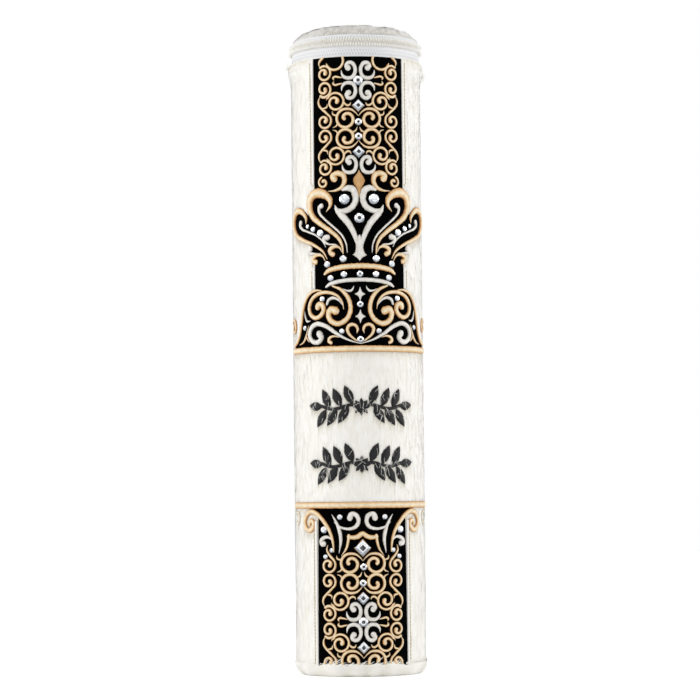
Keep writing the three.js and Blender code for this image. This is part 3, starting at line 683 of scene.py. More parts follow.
# The spindle is sewn in the same gold thread laid lengthwise, painted darker as painted shade
gold_rayon_painted_darker = rayon("gold rayon thread laid lengthwise with painted shade", "#B07A3C", "#D2A061", "#DDB27A", 0.5)
silver_rayon = rayon("silver grey rayon thread", "#B8B4A9", "#EEECE6", "#FDFCFA", 0.45)
white_rayon = rayon("white rayon thread", "#CECAC2", "#F4F2EC", "#FDFCF9", 0.45)

comma = [
    (-8.8, 316.3, 0.15), (-8.5, 314.3, 0.6), (-7.3, 312.7, 0.9), (-4.9, 312.1, 1.0),
    (-2.7, 312.8, 1.05), (-1.55, 315.0, 1.0), (-1.6, 317.8, 1.0), (-3.0, 319.9, 1.05),
    (-4.9, 320.2, 1.1), (-6.1, 318.8, 1.2), (-5.2, 317.5, 1.6),
]
bracket = [
    (-8.7, 312.4, 0.3), (-10.5, 312.8, 0.5), (-12.3, 313.1, 0.6), (-13.4, 312.3, 0.6),
    (-13.0, 311.3, 0.15),
]
edge_curl = [(-21.4, 318.8, 0.15), *curl(-18.7, 315.1, 3.95, 128, -480)]
leaf_curl = [
    (-21.2, 303.0, 0.15), (-22.2, 301.0, 0.5), (-21.9, 298.7, 0.66), (-20.3, 296.7, 0.7),
    (-18.2, 294.9, 0.7), *curl(-18.6, 290.0, 3.9, 58, -425),
]
leaf_inside = [
    (-21.2, 302.8, 0.15), (-19.4, 302.3, 0.4), (-17.6, 302.6, 0.5), (-16.6, 303.4, 0.4),
]
leaf_hook = [(-20.0, 296.7, 0.3), (-18.0, 296.9, 0.55), (-17.0, 297.5, 0.5), (-16.9, 298.9, 0.12)]
inner_curl = [(-17.3, 301.0, 0.12), (-17.0, 301.9, 0.4), *curl(-12.3, 299.8, 4.75, 152, -505)]
inner_hook = [
    (-8.0, 300.6, 0.3), (-7.3, 298.9, 0.5), (-5.8, 297.8, 0.6), (-4.5, 298.1, 0.5),
    (-4.0, 299.3, 0.12),
]
heart_curl = [(0, 292.1, 0.12), (-1.7, 294.1, 0.4), (-3.9, 295.6, 0.62)]
heart_curl += curl(-6.6, 290.8, 5.05, 97, 440, half=0.75, bulb=1.1)
heart_spur = [(-10.9, 292.6, 0.4), (-12.5, 292.8, 0.5), (-13.7, 293.4, 0.5), (-14.0, 294.9, 0.12)]
heart_thorn = [(-11.2, 289.0, 0.3), (-11.7, 287.2, 0.45), (-13.8, 286.3, 0.12)]
heart_tip = [(-3.2, 283.6, 0.4), (-1.6, 284.3, 0.5), (-0.6, 286.3, 0.12)]


def rosette_lines(level):
    """The gold lines of a rosette: two edge curls and a bracket, above and below its level."""
    upper = moved([edge_curl, bracket], level - rosette_level)
    return upper + flipped(upper, level)


def heart_lines(level, upper=True, lower=True):
    """The gold lines of a pair of hearts, with the leaves and curls above and below it."""
    leaves = [leaf_curl, leaf_inside, leaf_hook, inner_curl, inner_hook]
    made = (leaves if upper else []) + [heart_curl, heart_spur, heart_thorn]
    if lower:
        made += flipped(leaves + [heart_curl, heart_thorn], hearts_level)
    return moved(made + [heart_tip], level - hearts_level)


# The gold lines of the upper strip, from the zip down to the crown
loop_radius = 4.75
top_loop = [(-12.6 + loop_radius * math.cos(turn), 321.5 + loop_radius * math.sin(turn), 0.68)
            for turn in map(math.radians, range(30, -156, -15))] + [(-17.2, 320.4, 0.15)]
top_leaf = [(-18.1, 323.7, 0.6), (-20.2, 322.8, 0.68), (-21.7, 320.8, 0.55), (-21.3, 318.6, 0.12)]
small_curl = curl(-19.7, 257.9, 2.75, 115, 335, half=0.6, bulb=1.0)
crown_comma = [
    (-17.0, 253.0, 0.15), (-12.7, 253.2, 0.65), (-9.2, 254.9, 1.05), (-7.7, 258.2, 1.3),
    (-8.6, 261.2, 1.5), (-11.5, 262.2, 1.5), (-14.3, 260.9, 1.4), (-13.4, 259.5, 2.0),
]
spindle = [
    (0, 249.6, 0.1), (0, 251.8, 0.6), (0, 253.8, 1.15), (0, 255.4, 1.95), (0, 256.7, 2.75),
    (0, 257.9, 3.05), (0, 259.3, 2.8), (0, 260.7, 2.0), (0, 262.0, 1.0), (0, 263.7, 0.1),
]
sewn("scrolls_strip_gold", both_sides(
    [top_loop, top_leaf, small_curl, crown_comma] + rosette_lines(rosette_level)
    + heart_lines(hearts_level) + moved([edge_curl], -repeat + 0.5),
), gold_rayon, "gold_thread", top=zip_edge - 0.2)
sewn("spindle_gold", [spindle], gold_rayon_painted_darker, "gold_thread", rise=0.8)
commas = [comma] + flipped([comma], rosette_level) + moved([comma], -repeat + 0.6)
sewn("scrolls_strip_silver", both_sides(commas), silver_rayon, "silver_thread")

# The crown: two hooks and two wings on each side in gold, white lines inside them, a silver lyre
crown_hook = [
    (-8.8, 220.0, 0.3), (-9.4, 224.5, 0.7), (-11.6, 228.5, 1.0), (-16.0, 232.3, 1.2),
    (-22.4, 236.6, 1.4), (-26.9, 240.3, 1.65), (-29.0, 244.6, 1.95), (-29.0, 248.6, 2.2),
    (-26.8, 251.6, 2.45), (-22.8, 252.5, 2.6), (-18.7, 251.2, 2.2), (-15.9, 248.4, 1.6),
    (-15.8, 245.3, 0.9), (-18.1, 242.3, 0.12),
]
crown_wing = [
    (-17.8, 217.5, 0.2), (-20.3, 221.5, 0.6), (-26.3, 225.3, 0.9), (-34.3, 228.3, 1.1),
    (-41.3, 231.2, 1.35), (-45.2, 235.2, 1.7), (-45.7, 239.7, 1.8), (-43.0, 243.4, 1.8),
    (-38.6, 244.3, 1.7), (-34.4, 242.6, 1.4), (-32.0, 239.6, 0.9), (-32.2, 237.0, 0.12),
]
inner_comma = [
    (-9.4, 220.8, 0.15), (-10.9, 223.3, 0.6), (-13.8, 223.8, 1.0), (-16.1, 222.3, 1.2),
    (-15.9, 220.6, 1.25), (-14.7, 219.9, 1.5),
]
outer_comma = [
    (-18.8, 216.3, 0.15), (-20.8, 219.3, 0.6), (-24.3, 219.9, 1.0), (-26.6, 218.5, 1.15),
    (-26.7, 216.7, 1.25), (-25.2, 216.3, 1.5),
]
gold_band = across([
    (-19.3, 209.7, 0.7), (-17.0, 211.4, 1.25), (-11.0, 212.8, 1.4), (-5.5, 213.3, 1.45),
    (0, 213.5, 1.45),
])
sewn("crown_gold", both_sides([crown_hook, crown_wing, inner_comma, outer_comma]) + [gold_band],
     gold_rayon, "gold_thread", "crown_hook_right", "crown_hook_left", "crown_wing_right",
     "crown_wing_left", "crown_band_gold", seed=2)

hook_inside = [
    (-6.6, 220.5, 0.15), (-7.1, 225.0, 0.4), (-9.3, 229.5, 0.5), (-13.8, 234.0, 0.55),
    (-18.8, 238.2, 0.6), (-22.2, 241.8, 0.7), (-22.5, 244.6, 1.0), (-21.1, 245.6, 1.4),
]
wing_inside = [
    (-18.6, 223.8, 0.15), (-20.6, 227.2, 0.4), (-25.1, 230.5, 0.5), (-30.8, 232.6, 0.55),
    (-35.3, 234.2, 0.7), (-37.5, 236.2, 1.0), (-37.0, 237.9, 1.3),
]
white_comma = [(-21.8, 220.6, 0.15), (-26.2, 220.8, 0.5), (-29.4, 221.4, 1.2), (-29.3, 223.3, 2.0)]
sewn("crown_white", both_sides([hook_inside, wing_inside, white_comma]), white_rayon,
     "silver_thread", seed=3)

lyre_arm = [
    (-13.1, 245.6, 0.12), (-11.9, 242.8, 1.2), (-9.2, 239.8, 1.8), (-6.2, 236.4, 1.7),
    (-3.9, 232.4, 1.5), (-2.2, 228.6, 1.3), (-1.1, 225.0, 1.0),
]
lyre_stem = [
    (0, 229.2, 0.6), (0, 226.0, 1.9), (0, 222.5, 2.0), (0, 220.4, 2.7), (0, 219.0, 3.6),
    (0, 218.0, 1.8), (0, 216.2, 0.1),
]
collar = [
    (-8.6, 253.5, 0.8), (-6.2, 254.3, 1.5), (-3.6, 253.7, 1.8), (-2.1, 251.0, 1.75),
    (-2.0, 247.8, 1.6), (-3.4, 244.8, 1.6), (-6.2, 242.8, 1.5), (-9.0, 242.4, 1.2),
    (-11.0, 243.2, 0.5),
]
silver_comma = [
    (-10.6, 222.6, 0.15), (-12.6, 224.7, 0.35), (-16.6, 225.2, 0.5), (-19.2, 226.6, 0.9),
    (-19.6, 228.5, 1.25), (-17.6, 228.9, 1.6),
]
silver_band = across([(-18.6, 202.9, 0.5), (-16.5, 204.2, 0.95), (-10.0, 205.7, 1.05), (0, 206.3, 1.1)])
sewn("crown_silver", both_sides([lyre_arm, collar, silver_comma]) + [lyre_stem, silver_band],
     silver_rayon, "silver_thread", "crown_lyre_right", "crown_lyre_left", "crown_collar_right",
     "crown_collar_left", "crown_band_silver", seed=4)

# The bell under the crown: an outline, two great curls on each side, a heart and long silver waves
bell_edge = [
    (-45.8, 173.6, 0.9), (-41.8, 175.4, 0.95), (-39.0, 179.0, 0.95), (-37.4, 184.0, 0.95),
    (-36.0, 190.0, 0.95), (-33.8, 195.5, 0.9), (-30.2, 199.5, 0.8), (-25.6, 201.3, 0.6),
    (-21.6, 201.2, 0.3),
]
outer_scroll = [
    (-8.8, 191.0, 0.15), (-9.6, 194.8, 0.5), (-12.6, 198.3, 0.75), (-17.6, 200.0, 0.95),
    (-22.8, 199.7, 1.05), (-27.4, 197.4, 1.1), (-29.9, 193.3, 1.15), (-29.2, 189.2, 1.15),
    (-25.8, 187.0, 1.2), (-22.4, 187.9, 1.25), (-20.3, 190.6, 1.3), (-21.0, 193.4, 1.5),
    (-23.2, 193.9, 1.7), (-23.9, 192.7, 1.8),
]
inner_scroll = [
    (-14.8, 203.2, 0.5), (-10.2, 201.2, 0.9), (-6.4, 196.8, 1.15), (-5.1, 191.0, 1.2),
    (-7.1, 186.0, 1.3), (-11.8, 183.4, 1.4), (-16.0, 185.2, 1.5), (-17.3, 188.6, 1.6),
    (-15.8, 191.0, 1.9), (-13.3, 190.2, 2.2),
]
heart = [
    (0, 173.4, 0.2), (-3.2, 175.3, 0.5), (-6.2, 178.2, 0.8), (-6.9, 181.0, 0.95),
    (-5.0, 182.9, 0.95), (-2.6, 182.4, 0.8), (-1.5, 180.4, 0.7), (-2.0, 178.3, 0.12),
]
bell_comma = [
    (-11.3, 176.3, 0.15), (-14.2, 177.0, 0.55), (-16.7, 176.2, 0.8), (-17.2, 174.4, 0.95),
    (-16.0, 173.6, 0.95),
]
bell_sprig = [(-39.6, 173.4, 0.12), (-35.8, 174.4, 0.45), (-33.4, 176.6, 0.7), (-31.6, 180.6, 0.4),
              (-30.6, 183.2, 0.1)]
bell_thorn = [(-32.8, 177.6, 0.4), (-31.3, 175.6, 0.45), (-30.2, 174.4, 0.1)]
side_scroll = [
    (-51.5, 185.4, 0.4), (-48.6, 187.0, 0.65), (-45.6, 186.2, 0.8), (-44.2, 183.4, 0.85),
    (-45.6, 180.8, 0.8), (-48.2, 180.9, 0.7), (-48.9, 183.0, 0.65), (-47.3, 184.2, 0.7),
]
sewn("bell_gold", both_sides([
    bell_edge, outer_scroll, inner_scroll, heart, bell_comma, bell_sprig, bell_thorn, side_scroll,
]), gold_rayon, "gold_thread", "bell_edge_right", "bell_edge_left", seed=5)

bell_wave = [
    (0, 172.9, 0.2), (-6.4, 174.9, 0.5), (-12.6, 178.2, 0.9), (-18.6, 182.2, 1.15),
    (-24.4, 183.8, 1.25), (-28.8, 181.7, 1.3), (-29.9, 177.6, 1.3), (-27.3, 174.5, 1.3),
    (-23.6, 174.4, 1.35), (-21.9, 176.4, 1.5), (-23.0, 178.3, 2.0),
]
bell_arc = [(-18.2, 193.8, 0.6), (-17.2, 196.0, 0.8), (-14.8, 197.0, 0.8), (-11.8, 196.0, 0.6),
            (-9.3, 193.0, 0.12)]
bell_lash = [(-9.2, 201.6, 0.15), (-7.0, 200.6, 0.5), (-4.8, 200.6, 0.6), (-3.7, 201.8, 0.4),
             (-3.3, 203.0, 0.1)]
bell_crescent = [(-29.4, 185.6, 0.15), (-31.8, 185.5, 0.65), (-33.3, 187.6, 0.5), (-34.0, 190.8, 0.1)]


def star(level, half):
    """A four-pointed star in upright satin stitch."""
    shape = ((-1, 0.08), (-0.5, 0.7), (-0.22, 1.5), (0, 3), (0.22, 1.5), (0.5, 0.7), (1, 0.08))
    return [(0, level + at * half, width) for at, width in shape]


star_levels = (198.8, 187.1)
sewn("bell_silver", both_sides([bell_wave, bell_arc, bell_lash, bell_crescent])
     + [star(level, 3.6) for level in star_levels], silver_rayon, "silver_thread", seed=6)

# The lower strip: corner hooks that curl out over the hide, an ogee arch, and the same scrolls
corner_hook = [
    (-15.6, 65.0, 0.3), (-16.1, 70.0, 0.7), (-17.9, 75.5, 0.95), (-21.1, 80.2, 1.1),
    (-25.1, 84.0, 1.2), (-29.3, 85.7, 1.35), (-33.2, 84.7, 1.45), (-35.6, 81.2, 1.5),
    (-34.7, 77.4, 1.5), (-31.5, 76.0, 1.45), (-28.7, 77.8, 1.3), (-28.7, 80.3, 1.25),
    (-30.6, 81.0, 1.2), (-31.4, 79.7, 1.35),
]
arch_leg = [(-11.3, 62.8, 0.12), (-8.7, 66.5, 0.6), (-7.7, 70.0, 0.72), (-7.3, 73.2, 0.85)]
arch_top = across([(-7.4, 72.6, 0.9), (-5.0, 72.2, 1.2), (-2.3, 72.8, 1.3), (0, 74.3, 1.2)])
lower_tail = [
    (-19.1, 68.3, 0.12), (-19.6, 65.8, 0.5), (-18.1, 63.2, 0.66), (-16.0, 61.0, 0.7),
    *curl(-18.6, 58.0, 3.9, 40, -405),
]
lower_rosette_level = 28.5
lower_hearts = heart_lines(53.7, upper=False) + [lower_tail]
foot_hearts = heart_lines(3.4, lower=False)
sewn("scrolls_lower_gold", both_sides(
    [corner_hook, arch_leg] + lower_hearts + rosette_lines(lower_rosette_level) + foot_hearts,
) + [arch_top], gold_rayon, "gold_thread", "lower_hook_right", "lower_hook_left",
     foot=satin_foot + 1.2, seed=7)

blade = [(-16.6, 84.2, 0.12), (-14.2, 80.4, 0.7), (-12.4, 76.0, 1.0), (-11.6, 71.0, 0.9),
         (-12.6, 64.2, 0.12)]
top_comma = [
    (-15.3, 80.3, 0.15), (-12.3, 77.8, 0.55), (-7.4, 76.7, 0.75), (-3.5, 77.9, 1.0),
    (-2.1, 80.8, 1.1), (-3.3, 83.8, 1.2), (-5.9, 84.3, 1.3), (-6.6, 82.4, 1.65),
]
side_comma = [
    (-15.7, 69.5, 0.12), (-17.9, 72.1, 0.6), (-20.8, 72.4, 0.95), (-23.0, 70.8, 1.15),
    (-22.9, 69.1, 1.3), (-21.6, 69.0, 1.55),
]
lower_commas = moved([comma], lower_rosette_level - rosette_level)
sewn("scrolls_lower_silver", both_sides(
    [blade, top_comma, side_comma] + lower_commas + flipped(lower_commas, lower_rosette_level),
), silver_rayon, "silver_thread", seed=8)
pale_loop = [
    (-46.6, 84.9, 0.45), (-43.9, 85.4, 0.6), (-41.9, 83.6, 0.65), (-42.1, 80.6, 0.65),
    (-44.2, 79.6, 0.6), (-46.2, 80.8, 0.45),
]
cream_rayon = rayon("cream rayon thread", "#D6C79F", "#F2E9D0", "#FCF8EC", 0.5)
sewn("side_loops_cream", both_sides([pale_loop]), cream_rayon, "silver_thread", rise=0.6, seed=9)

# Gold bars: two broad bands of the same gold thread, laid upright side by side, that frame the
# bare band of hide and cover the raw edges of the satin.
bar_reach = 47.0
bar_span = np.linspace(-bar_reach, bar_reach, 9)
for word, level in (("upper", upper_bar_level), ("lower", lower_bar_level)):
    sewn(f"gold_bar_{word}", [[(u, level, bar_half) for u in bar_span]], gold_rayon, "gold_thread",
         f"{word}_gold_bar", rise=0.9, seed=10)

# Black garlands: two laurel garlands in black satin stitch on the bare band of hide. Each runs
# out from a small rosette in the middle, with pairs of pointed leaves along a wavy stem.
garland_levels = (140.0, 110.0)
garland_half = 30.5
leaf_length = 10.6
leaf_half = 2.35
leaf_places = (4.6, 10.9, 17.2)
leaf_leans = (66, -58)
pair_shift = 2.2
petal_length = 4.6
petal_half = 1.15
side_leans = (45, 0, -45)
end_leans = (90, -90)
stem_wave = 3.2
stem_half = 0.85


def leaf(u, z, degrees, length, half):
    """A pointed leaf that starts at (u, z) and leans by the angle from straight out."""
    turn = math.radians(degrees)
    shape = ((0, 0.1), (0.22, 0.75), (0.5, 1), (0.78, 0.65), (1, 0.05))
    return [(u + math.cos(turn) * at * length, z + math.sin(turn) * at * length, width * half)
            for at, width in shape]


def garland_lines(level):
    """The lines of one garland about its level."""
    stem = np.linspace(2.6, garland_half - 7.5, 14)
    wave = [(u, math.sin(u / stem_wave), stem_half) for u in stem]
    leaves = []
    for place in leaf_places:
        rise = math.sin(place / stem_wave)
        leaves.append(leaf(place, rise + 0.4, leaf_leans[0], leaf_length, leaf_half))
        leaves.append(leaf(place + pair_shift, rise - 0.4, leaf_leans[1], leaf_length, leaf_half))
    leaves.append(leaf(garland_half - 8.4, 0.2, 6, leaf_length * 0.8, leaf_half))
    side_petals = [leaf(0, 0, lean, petal_length, petal_half) for lean in side_leans]
    end_petals = [leaf(0, 0, lean, petal_length, petal_half) for lean in end_leans]
    return moved(both_sides([wave, *leaves, *side_petals]) + end_petals, level)


black_rayon = rayon("black rayon thread", "#020203", "#0B0B0D", "#1A1A1E", 0.5)
black_rayon.node_tree.nodes["Principled BSDF"].inputs["Specular IOR Level"].default_value = 0.25
for word, level in zip(("upper", "lower"), garland_levels):
    sewn(f"black_garland_{word}", garland_lines(level), black_rayon, "black_satin", rise=0.7, seed=11)

# Stones: flat-backed crystal, round and square, foiled behind and glued on the satin. Each is cut
# with a flat table and rings of facets. The facets that look down are painted darker, and the table
# of a stone on the middle line is painted dark with a few bright flecks, as painted reflections and
# glints.
stone_lift = 0.45 * mm
cut_rings = [(1, 0.2), (0.86, 0.55), (0.56, 0.98), (0.36, 1)]
shaded_below = -0.12
round_sides = 12
round_height = 0.5
square_height = 0.42
round_stones = {
    "strip": [(0, 310.8, 2.6), (0, 289.0, 2.0), (0, 281.4, 2.0)],
    "crown": [
        (7.9, 248.5, 2.9), (0, 238.5, 2.85), (8.9, 217.3, 1.95), (17.9, 214.7, 1.85),
        (31.0, 235.4, 1.2), (26.8, 233.6, 1.5), (22.0, 231.3, 2.0),
        (0, 209.3, 1.75), (8.6, 209.2, 1.75), (16.0, 207.4, 1.75),
    ],
    "bell": [
        (21.1, 196.7, 1.55), (0, 193.4, 1.85), (0, 175.1, 1.9), (9.9, 179.5, 1.45),
        (34.0, 182.0, 1.35),
    ],
    "lower": [
        (0, 28.5, 2.6), (0.4, 57.0, 2.0), (0, 48.6, 2.0), (12.1, 82.8, 1.5),
        (21.4, 76.3, 1.95), (16.9, 65.6, 1.3), (20.6, 62.3, 1.35),
    ],
}
square_stones = {
    "strip": [(0, 297.6, 3.5), (0, 273.3, 3.5)],
    "lower": [(0, 66.8, 4.8), (0, 40.8, 3.6), (0, 15.3, 3.5)],
}
stone_nodes = {
    "strip": ["rosette_stone_upper", "diamond_stone_upper", "diamond_stone_middle"],
    "crown": ["crown_stone_right", "crown_stone_left", "crown_stone_centre"],
    "bell": [],
    "lower": ["rosette_stone_lower", "diamond_stone_large", "diamond_stone_lower",
              "diamond_stone_foot"],
}

# Foiled crystal: mirror-bright facets of clear glass over silver foil.
crystal = patterned(
    "foiled crystal glass", "#F6F8FA", 0.04, "Voronoi", {"Scale": 1 / (1.3 * mm)},
    [(0, "#FFFFFF"), (0.55, "#F1F4F7"), (1, "#B9C0C9")], values={"Metallic": 1.0},
)
# The facets that look down, painted darker as a painted reflection of the darker side of the room
crystal_shade = patterned(
    "shaded facets of the crystal", "#AEB4BE", 0.06, "Voronoi", {"Scale": 1 / (0.9 * mm)},
    [(0, "#DDE2E9"), (0.6, "#9EA5B1")], values={"Metallic": 1.0},
)
# The table of a stone on the middle line: painted dark as a painted reflection, with a few bright flecks
# as painted glints.
painted_table_reflection = patterned(
    "crystal table with painted reflection and glints", "#1A1C22", 0.05, "Voronoi", {"Scale": 1 / (0.8 * mm)},
    [(0.1, "#E8ECF2"), (0.2, "#2A2D34"), (0.7, "#0C0D10")], values={"Coat Weight": 0.4},
)


def stone(u, z, radius, sides):
    """One cut stone, drawn flat as a disc and raised ring by ring, then stood on the satin."""
    bpy.ops.object.select_all(action="DESELECT")
    bpy.ops.mesh.primitive_circle_add(vertices=sides, radius=radius * mm, fill_type="NGON")
    piece = bpy.context.object
    bpy.ops.object.mode_set(mode="EDIT")
    bpy.ops.mesh.select_all(action="SELECT")
    height = radius * mm * (round_height if sides > 4 else square_height)
    share, up = 1, 0
    for next_share, next_up in cut_rings:
        raised = {"value": (0, 0, (next_up - up) * height)}
        bpy.ops.mesh.extrude_region_move(TRANSFORM_OT_translate=raised)
        scale = next_share / share
        bpy.ops.transform.resize(value=(scale, scale, 1), center_override=(0, 0, 0))
        if sides > 4 and share < 1:
            bpy.ops.transform.rotate(value=math.pi / sides, orient_axis="Z", center_override=(0, 0, 0))
        share, up = next_share, next_up
    bpy.ops.object.mode_set(mode="OBJECT")
    wear(piece, crystal)
    piece.data.materials.append(crystal_shade)
    piece.data.materials.append(painted_table_reflection)
    # Facets that look down wear the copy painted darker as a painted reflection
    for face in piece.data.polygons:
        face.material_index = 1 if face.normal.y < shaded_below else 0
    # The table of a stone on the middle line wears the painted dark reflection with glints
    top = max(piece.data.polygons, key=lambda face: face.center.z)
    top.material_index = 2 if abs(u) < 1 else 0
    turn = u * mm / ornament_radius
    out = Vector((math.sin(turn), -math.cos(turn), 0))
    right = Vector((math.cos(turn), math.sin(turn), 0))
    foot = Vector(on_case(u, z, stone_lift).tolist())
    basis = Matrix((right, Vector((0, 0, 1)), out)).transposed().to_4x4()
    piece.data.transform(Matrix.Translation(foot) @ basis)
    return piece


for field, nodes in stone_nodes.items():
    cut = []
    for u, z, radius in round_stones[field]:
        for side in ((1, -1) if u > 1 else (1,)):
            cut.append(stone(side * u, z, radius, round_sides))
    for u, z, radius in square_stones.get(field, []):
        cut.append(stone(u, z, radius, 4))
    pick(*cut)
    bpy.ops.object.join()
    gems = cut[0]
    gems.name = gems.data.name = f"stones_{field}"
    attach(gems, "case")
    if nodes:
        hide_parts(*nodes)

# Lower half of the zip: a woven nylon tape sewn behind the hem, and along its edge a coil of
# nylon monofilament round a cotton core cord, with a row of sewing thread over its outer bends.
tape_low, tape_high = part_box("lower_zip_tape")
tape_radius = 33.6 * mm
tape_thickness = 0.5 * mm
tape_half_angle = 159.8
parting = 331.0 * mm
tooth_pitch = 1.38
tooth_step = math.degrees(tooth_pitch * mm / tape_radius)
coil_inner, coil_outer = 33.9 * mm, 35.1 * mm
coil_half_angle = 155
coil_start = 0.6
coil_inset = 0.3 * mm
coil_level = parting + 0.4 * mm
coil_rise = np.array([-0.28, 0.1, 0.5, 1.0, 1.6, 2.15, 2.45])
coil_bulge = [0.55, 0.75, 0.95, 1.0, 1.0, 0.85, 0.45]
coil_thickness = np.array([0.2, 0.33, 0.36, 0.5, 0.58, 0.55, 0.4]) * mm
core_rise = 1.12 * mm
core_middle, core_half = 0.35, 0.3
core_height = 0.9 * mm
zip_row = 1.6 * mm
thread_lift = 0.08 * mm
thread_ends = np.array([-0.5, -0.3, 0.3, 0.5]) * mm
thread_thickness = np.array([0.15, 0.5, 0.5, 0.15]) * mm
dot_pitch = 1.5
rib_pitch = 0.7


def zip_cloth(name, colour, shadow):
    """Woven nylon tape: fine ribs along it, and two rows of slanting dots where the weave changes. Their
    dips are painted in the shadow colour, as painted shade.
    """
    made = new_finish(name, colour, 0.55, {"Sheen Weight": 0.1})
    place = add_node(made, "UVMap", {"uv_map": "Tape"})
    axes = add_node(made, "SeparateXYZ", (), {"Vector": place.outputs["UV"]})
    slant = add_node(made, "Math", {"operation": "MULTIPLY_ADD", 1: 0.45}, {
        0: axes.outputs["Y"], 2: axes.outputs["X"],
    })
    beat = add_node(made, "Math", {"operation": "MULTIPLY", 1: 2 * math.pi / dot_pitch}, {
        0: slant.outputs["Value"],
    })
    dots = add_node(made, "Math", {"operation": "SINE"}, {0: beat.outputs["Value"]})
    levels = add_node(made, "MapRange", {"From Max": 5.0}, {"Value": axes.outputs["Y"]})
    rows = add_node(made, "ValToRGB", {"stops": [
        (0.31, "#000000"), (0.35, "#FFFFFF"), (0.41, "#FFFFFF"), (0.45, "#000000"),
        (0.60, "#000000"), (0.64, "#FFFFFF"), (0.72, "#FFFFFF"), (0.76, "#000000"),
    ]}, {"Fac": levels.outputs["Result"]})
    spots = add_node(made, "Math", {"operation": "MULTIPLY"}, {
        0: rows.outputs["Color"], 1: dots.outputs["Value"],
    })
    ribs = add_node(made, "Math", {"operation": "MULTIPLY", 1: 2 * math.pi / rib_pitch}, {
        0: axes.outputs["Y"],
    })
    rib_wave = add_node(made, "Math", {"operation": "SINE"}, {0: ribs.outputs["Value"]})
    weave = add_node(made, "Math", {"operation": "MULTIPLY_ADD", 1: 0.15}, {
        0: rib_wave.outputs["Value"], 2: spots.outputs["Value"],
    })
    depth = add_node(made, "MapRange", {"From Min": 1.0, "From Max": -1.0}, {
        "Value": weave.outputs["Value"],
    })
    tone = add_node(made, "ValToRGB", {"stops": [(0.35, shadow), (0.55, colour)]}, {
        "Fac": depth.outputs["Result"],
    })
    bump = add_node(made, "Bump", {"Strength": 0.6, "Distance": 0.12 * mm, "invert": True}, {
        "Height": weave.outputs["Value"],
    })
    wire(made, "Base Color", tone.outputs["Color"])
    wire(made, "Normal", bump.outputs["Normal"])
    return made


def tape(name, section, half_angle, middle=0, level=0):
    """A strip of tape round the case: section points are (radius, height), outside first."""
    steps = max(4, round(half_angle))
    angles = np.radians(np.linspace(middle - half_angle, middle + half_angle, steps))[:, None]
    r, z = np.array(section).T
    rows = np.broadcast_arrays(r * np.sin(angles), -r * np.cos(angles), z)
    piece = grid_piece(name, np.stack(rows, axis=-1))
    close_ends(piece)
    layer = piece.data.uv_layers.new(name="Tape")
    for loop, spot in zip(piece.data.loops, layer.data):
        x, y, height = piece.data.vertices[loop.vertex_index].co
        turn = (math.atan2(x, -y) + math.pi - math.radians(middle)) % (2 * math.pi)
        spot.uv = (turn * tape_radius / mm, abs(height / mm - level))
    return piece


def beads(name, angles, stations, thickness, upright):
    """Rounded ribs round the case. Stations are (turn in radians, radius, height) along each rib."""
    ring = np.radians(np.arange(0, 360, 360 / bead_sides))
    turn, reach, high = np.array(stations).T[:, :, None]
    thick = thickness[:, None]
    wide = thick * np.cos(ring)
    around = np.radians(angles)[:, None, None] + turn
    if upright:
        around = around + wide / reach
    else:
        high = high + wide
    out = reach + thick * np.sin(ring)
    points = np.stack(np.broadcast_arrays(out * np.sin(around), -out * np.cos(around), high), axis=-1)
    faces = bead_faces(len(stations), bead_sides, len(angles))
    piece = mesh_piece(name, points.reshape(-1, 3), faces)
    close_ends(piece)
    return piece


def half_zip(word, body, direction, start):
    """The loops, the core cord and the sewing thread of one half. Direction is -1 below the parting."""
    angles = np.arange(-coil_half_angle + start, coil_half_angle - 0.5, tooth_step)
    stations = [(0, coil_inner + (coil_outer - coil_inner - coil_inset) * out, coil_level + up)
                for out, up in zip(coil_bulge, coil_rise * direction * mm)]
    loops = beads(f"zip_coil_{word}", angles, stations, coil_thickness, upright=True)
    dress(loops, coil_nylon, body, "zip_coil", 75, f"{word}_zip_coil")
    around = np.radians(np.arange(0, 360, 45))
    level = coil_level + direction * core_rise
    section = np.stack([coil_inner + (core_middle + core_half * np.cos(around)) * mm,
                        level + core_height * np.sin(around)], axis=-1)
    cord = tape(f"zip_core_{word}", section, coil_half_angle)
    dress(cord, core_cord_painted_shade, body, "zip_coil", 40)
    stitches = [(along / coil_outer, coil_outer + thread_lift, coil_level + direction * zip_row)
                for along in thread_ends]
    row = beads(f"zip_thread_{word}", angles, stitches, thread_thickness, upright=False)
    dress(row, coil_thread, body, "zip_coil", 75)


tape_white = zip_cloth("white woven nylon tape", "#F5F5F5", "#C8CAD0")
# Nylon monofilament: milky, smooth and a little glossy.
coil_nylon = patterned(
    "milky nylon monofilament", "#F3F1EA", 0.3, "Noise", {"Scale": 1 / (1.5 * mm)},
    [(0.3, "#ECE9E1"), (0.7, "#FCFBF8")],
)
# Cotton cord inside the coil, painted a little darker and warmer than the loops, as painted shade in the
# gaps between them
core_cord_painted_shade = patterned(
    "cotton core cord with painted shade", "#DCD4C3", 0.95, "Noise", {"Scale": 1 / (0.6 * mm)},
    [(0.3, "#E3DDD0"), (0.7, "#F4F1E9")],
)
# White sewing thread over the outer bends of the coil
coil_thread = patterned(
    "white polyester sewing thread", "#FBFAF7", 0.6, "Noise", {"Scale": 1 / (0.4 * mm)},
    [(0.3, "#E9E6DE"), (0.7, "#FFFFFF")],
)

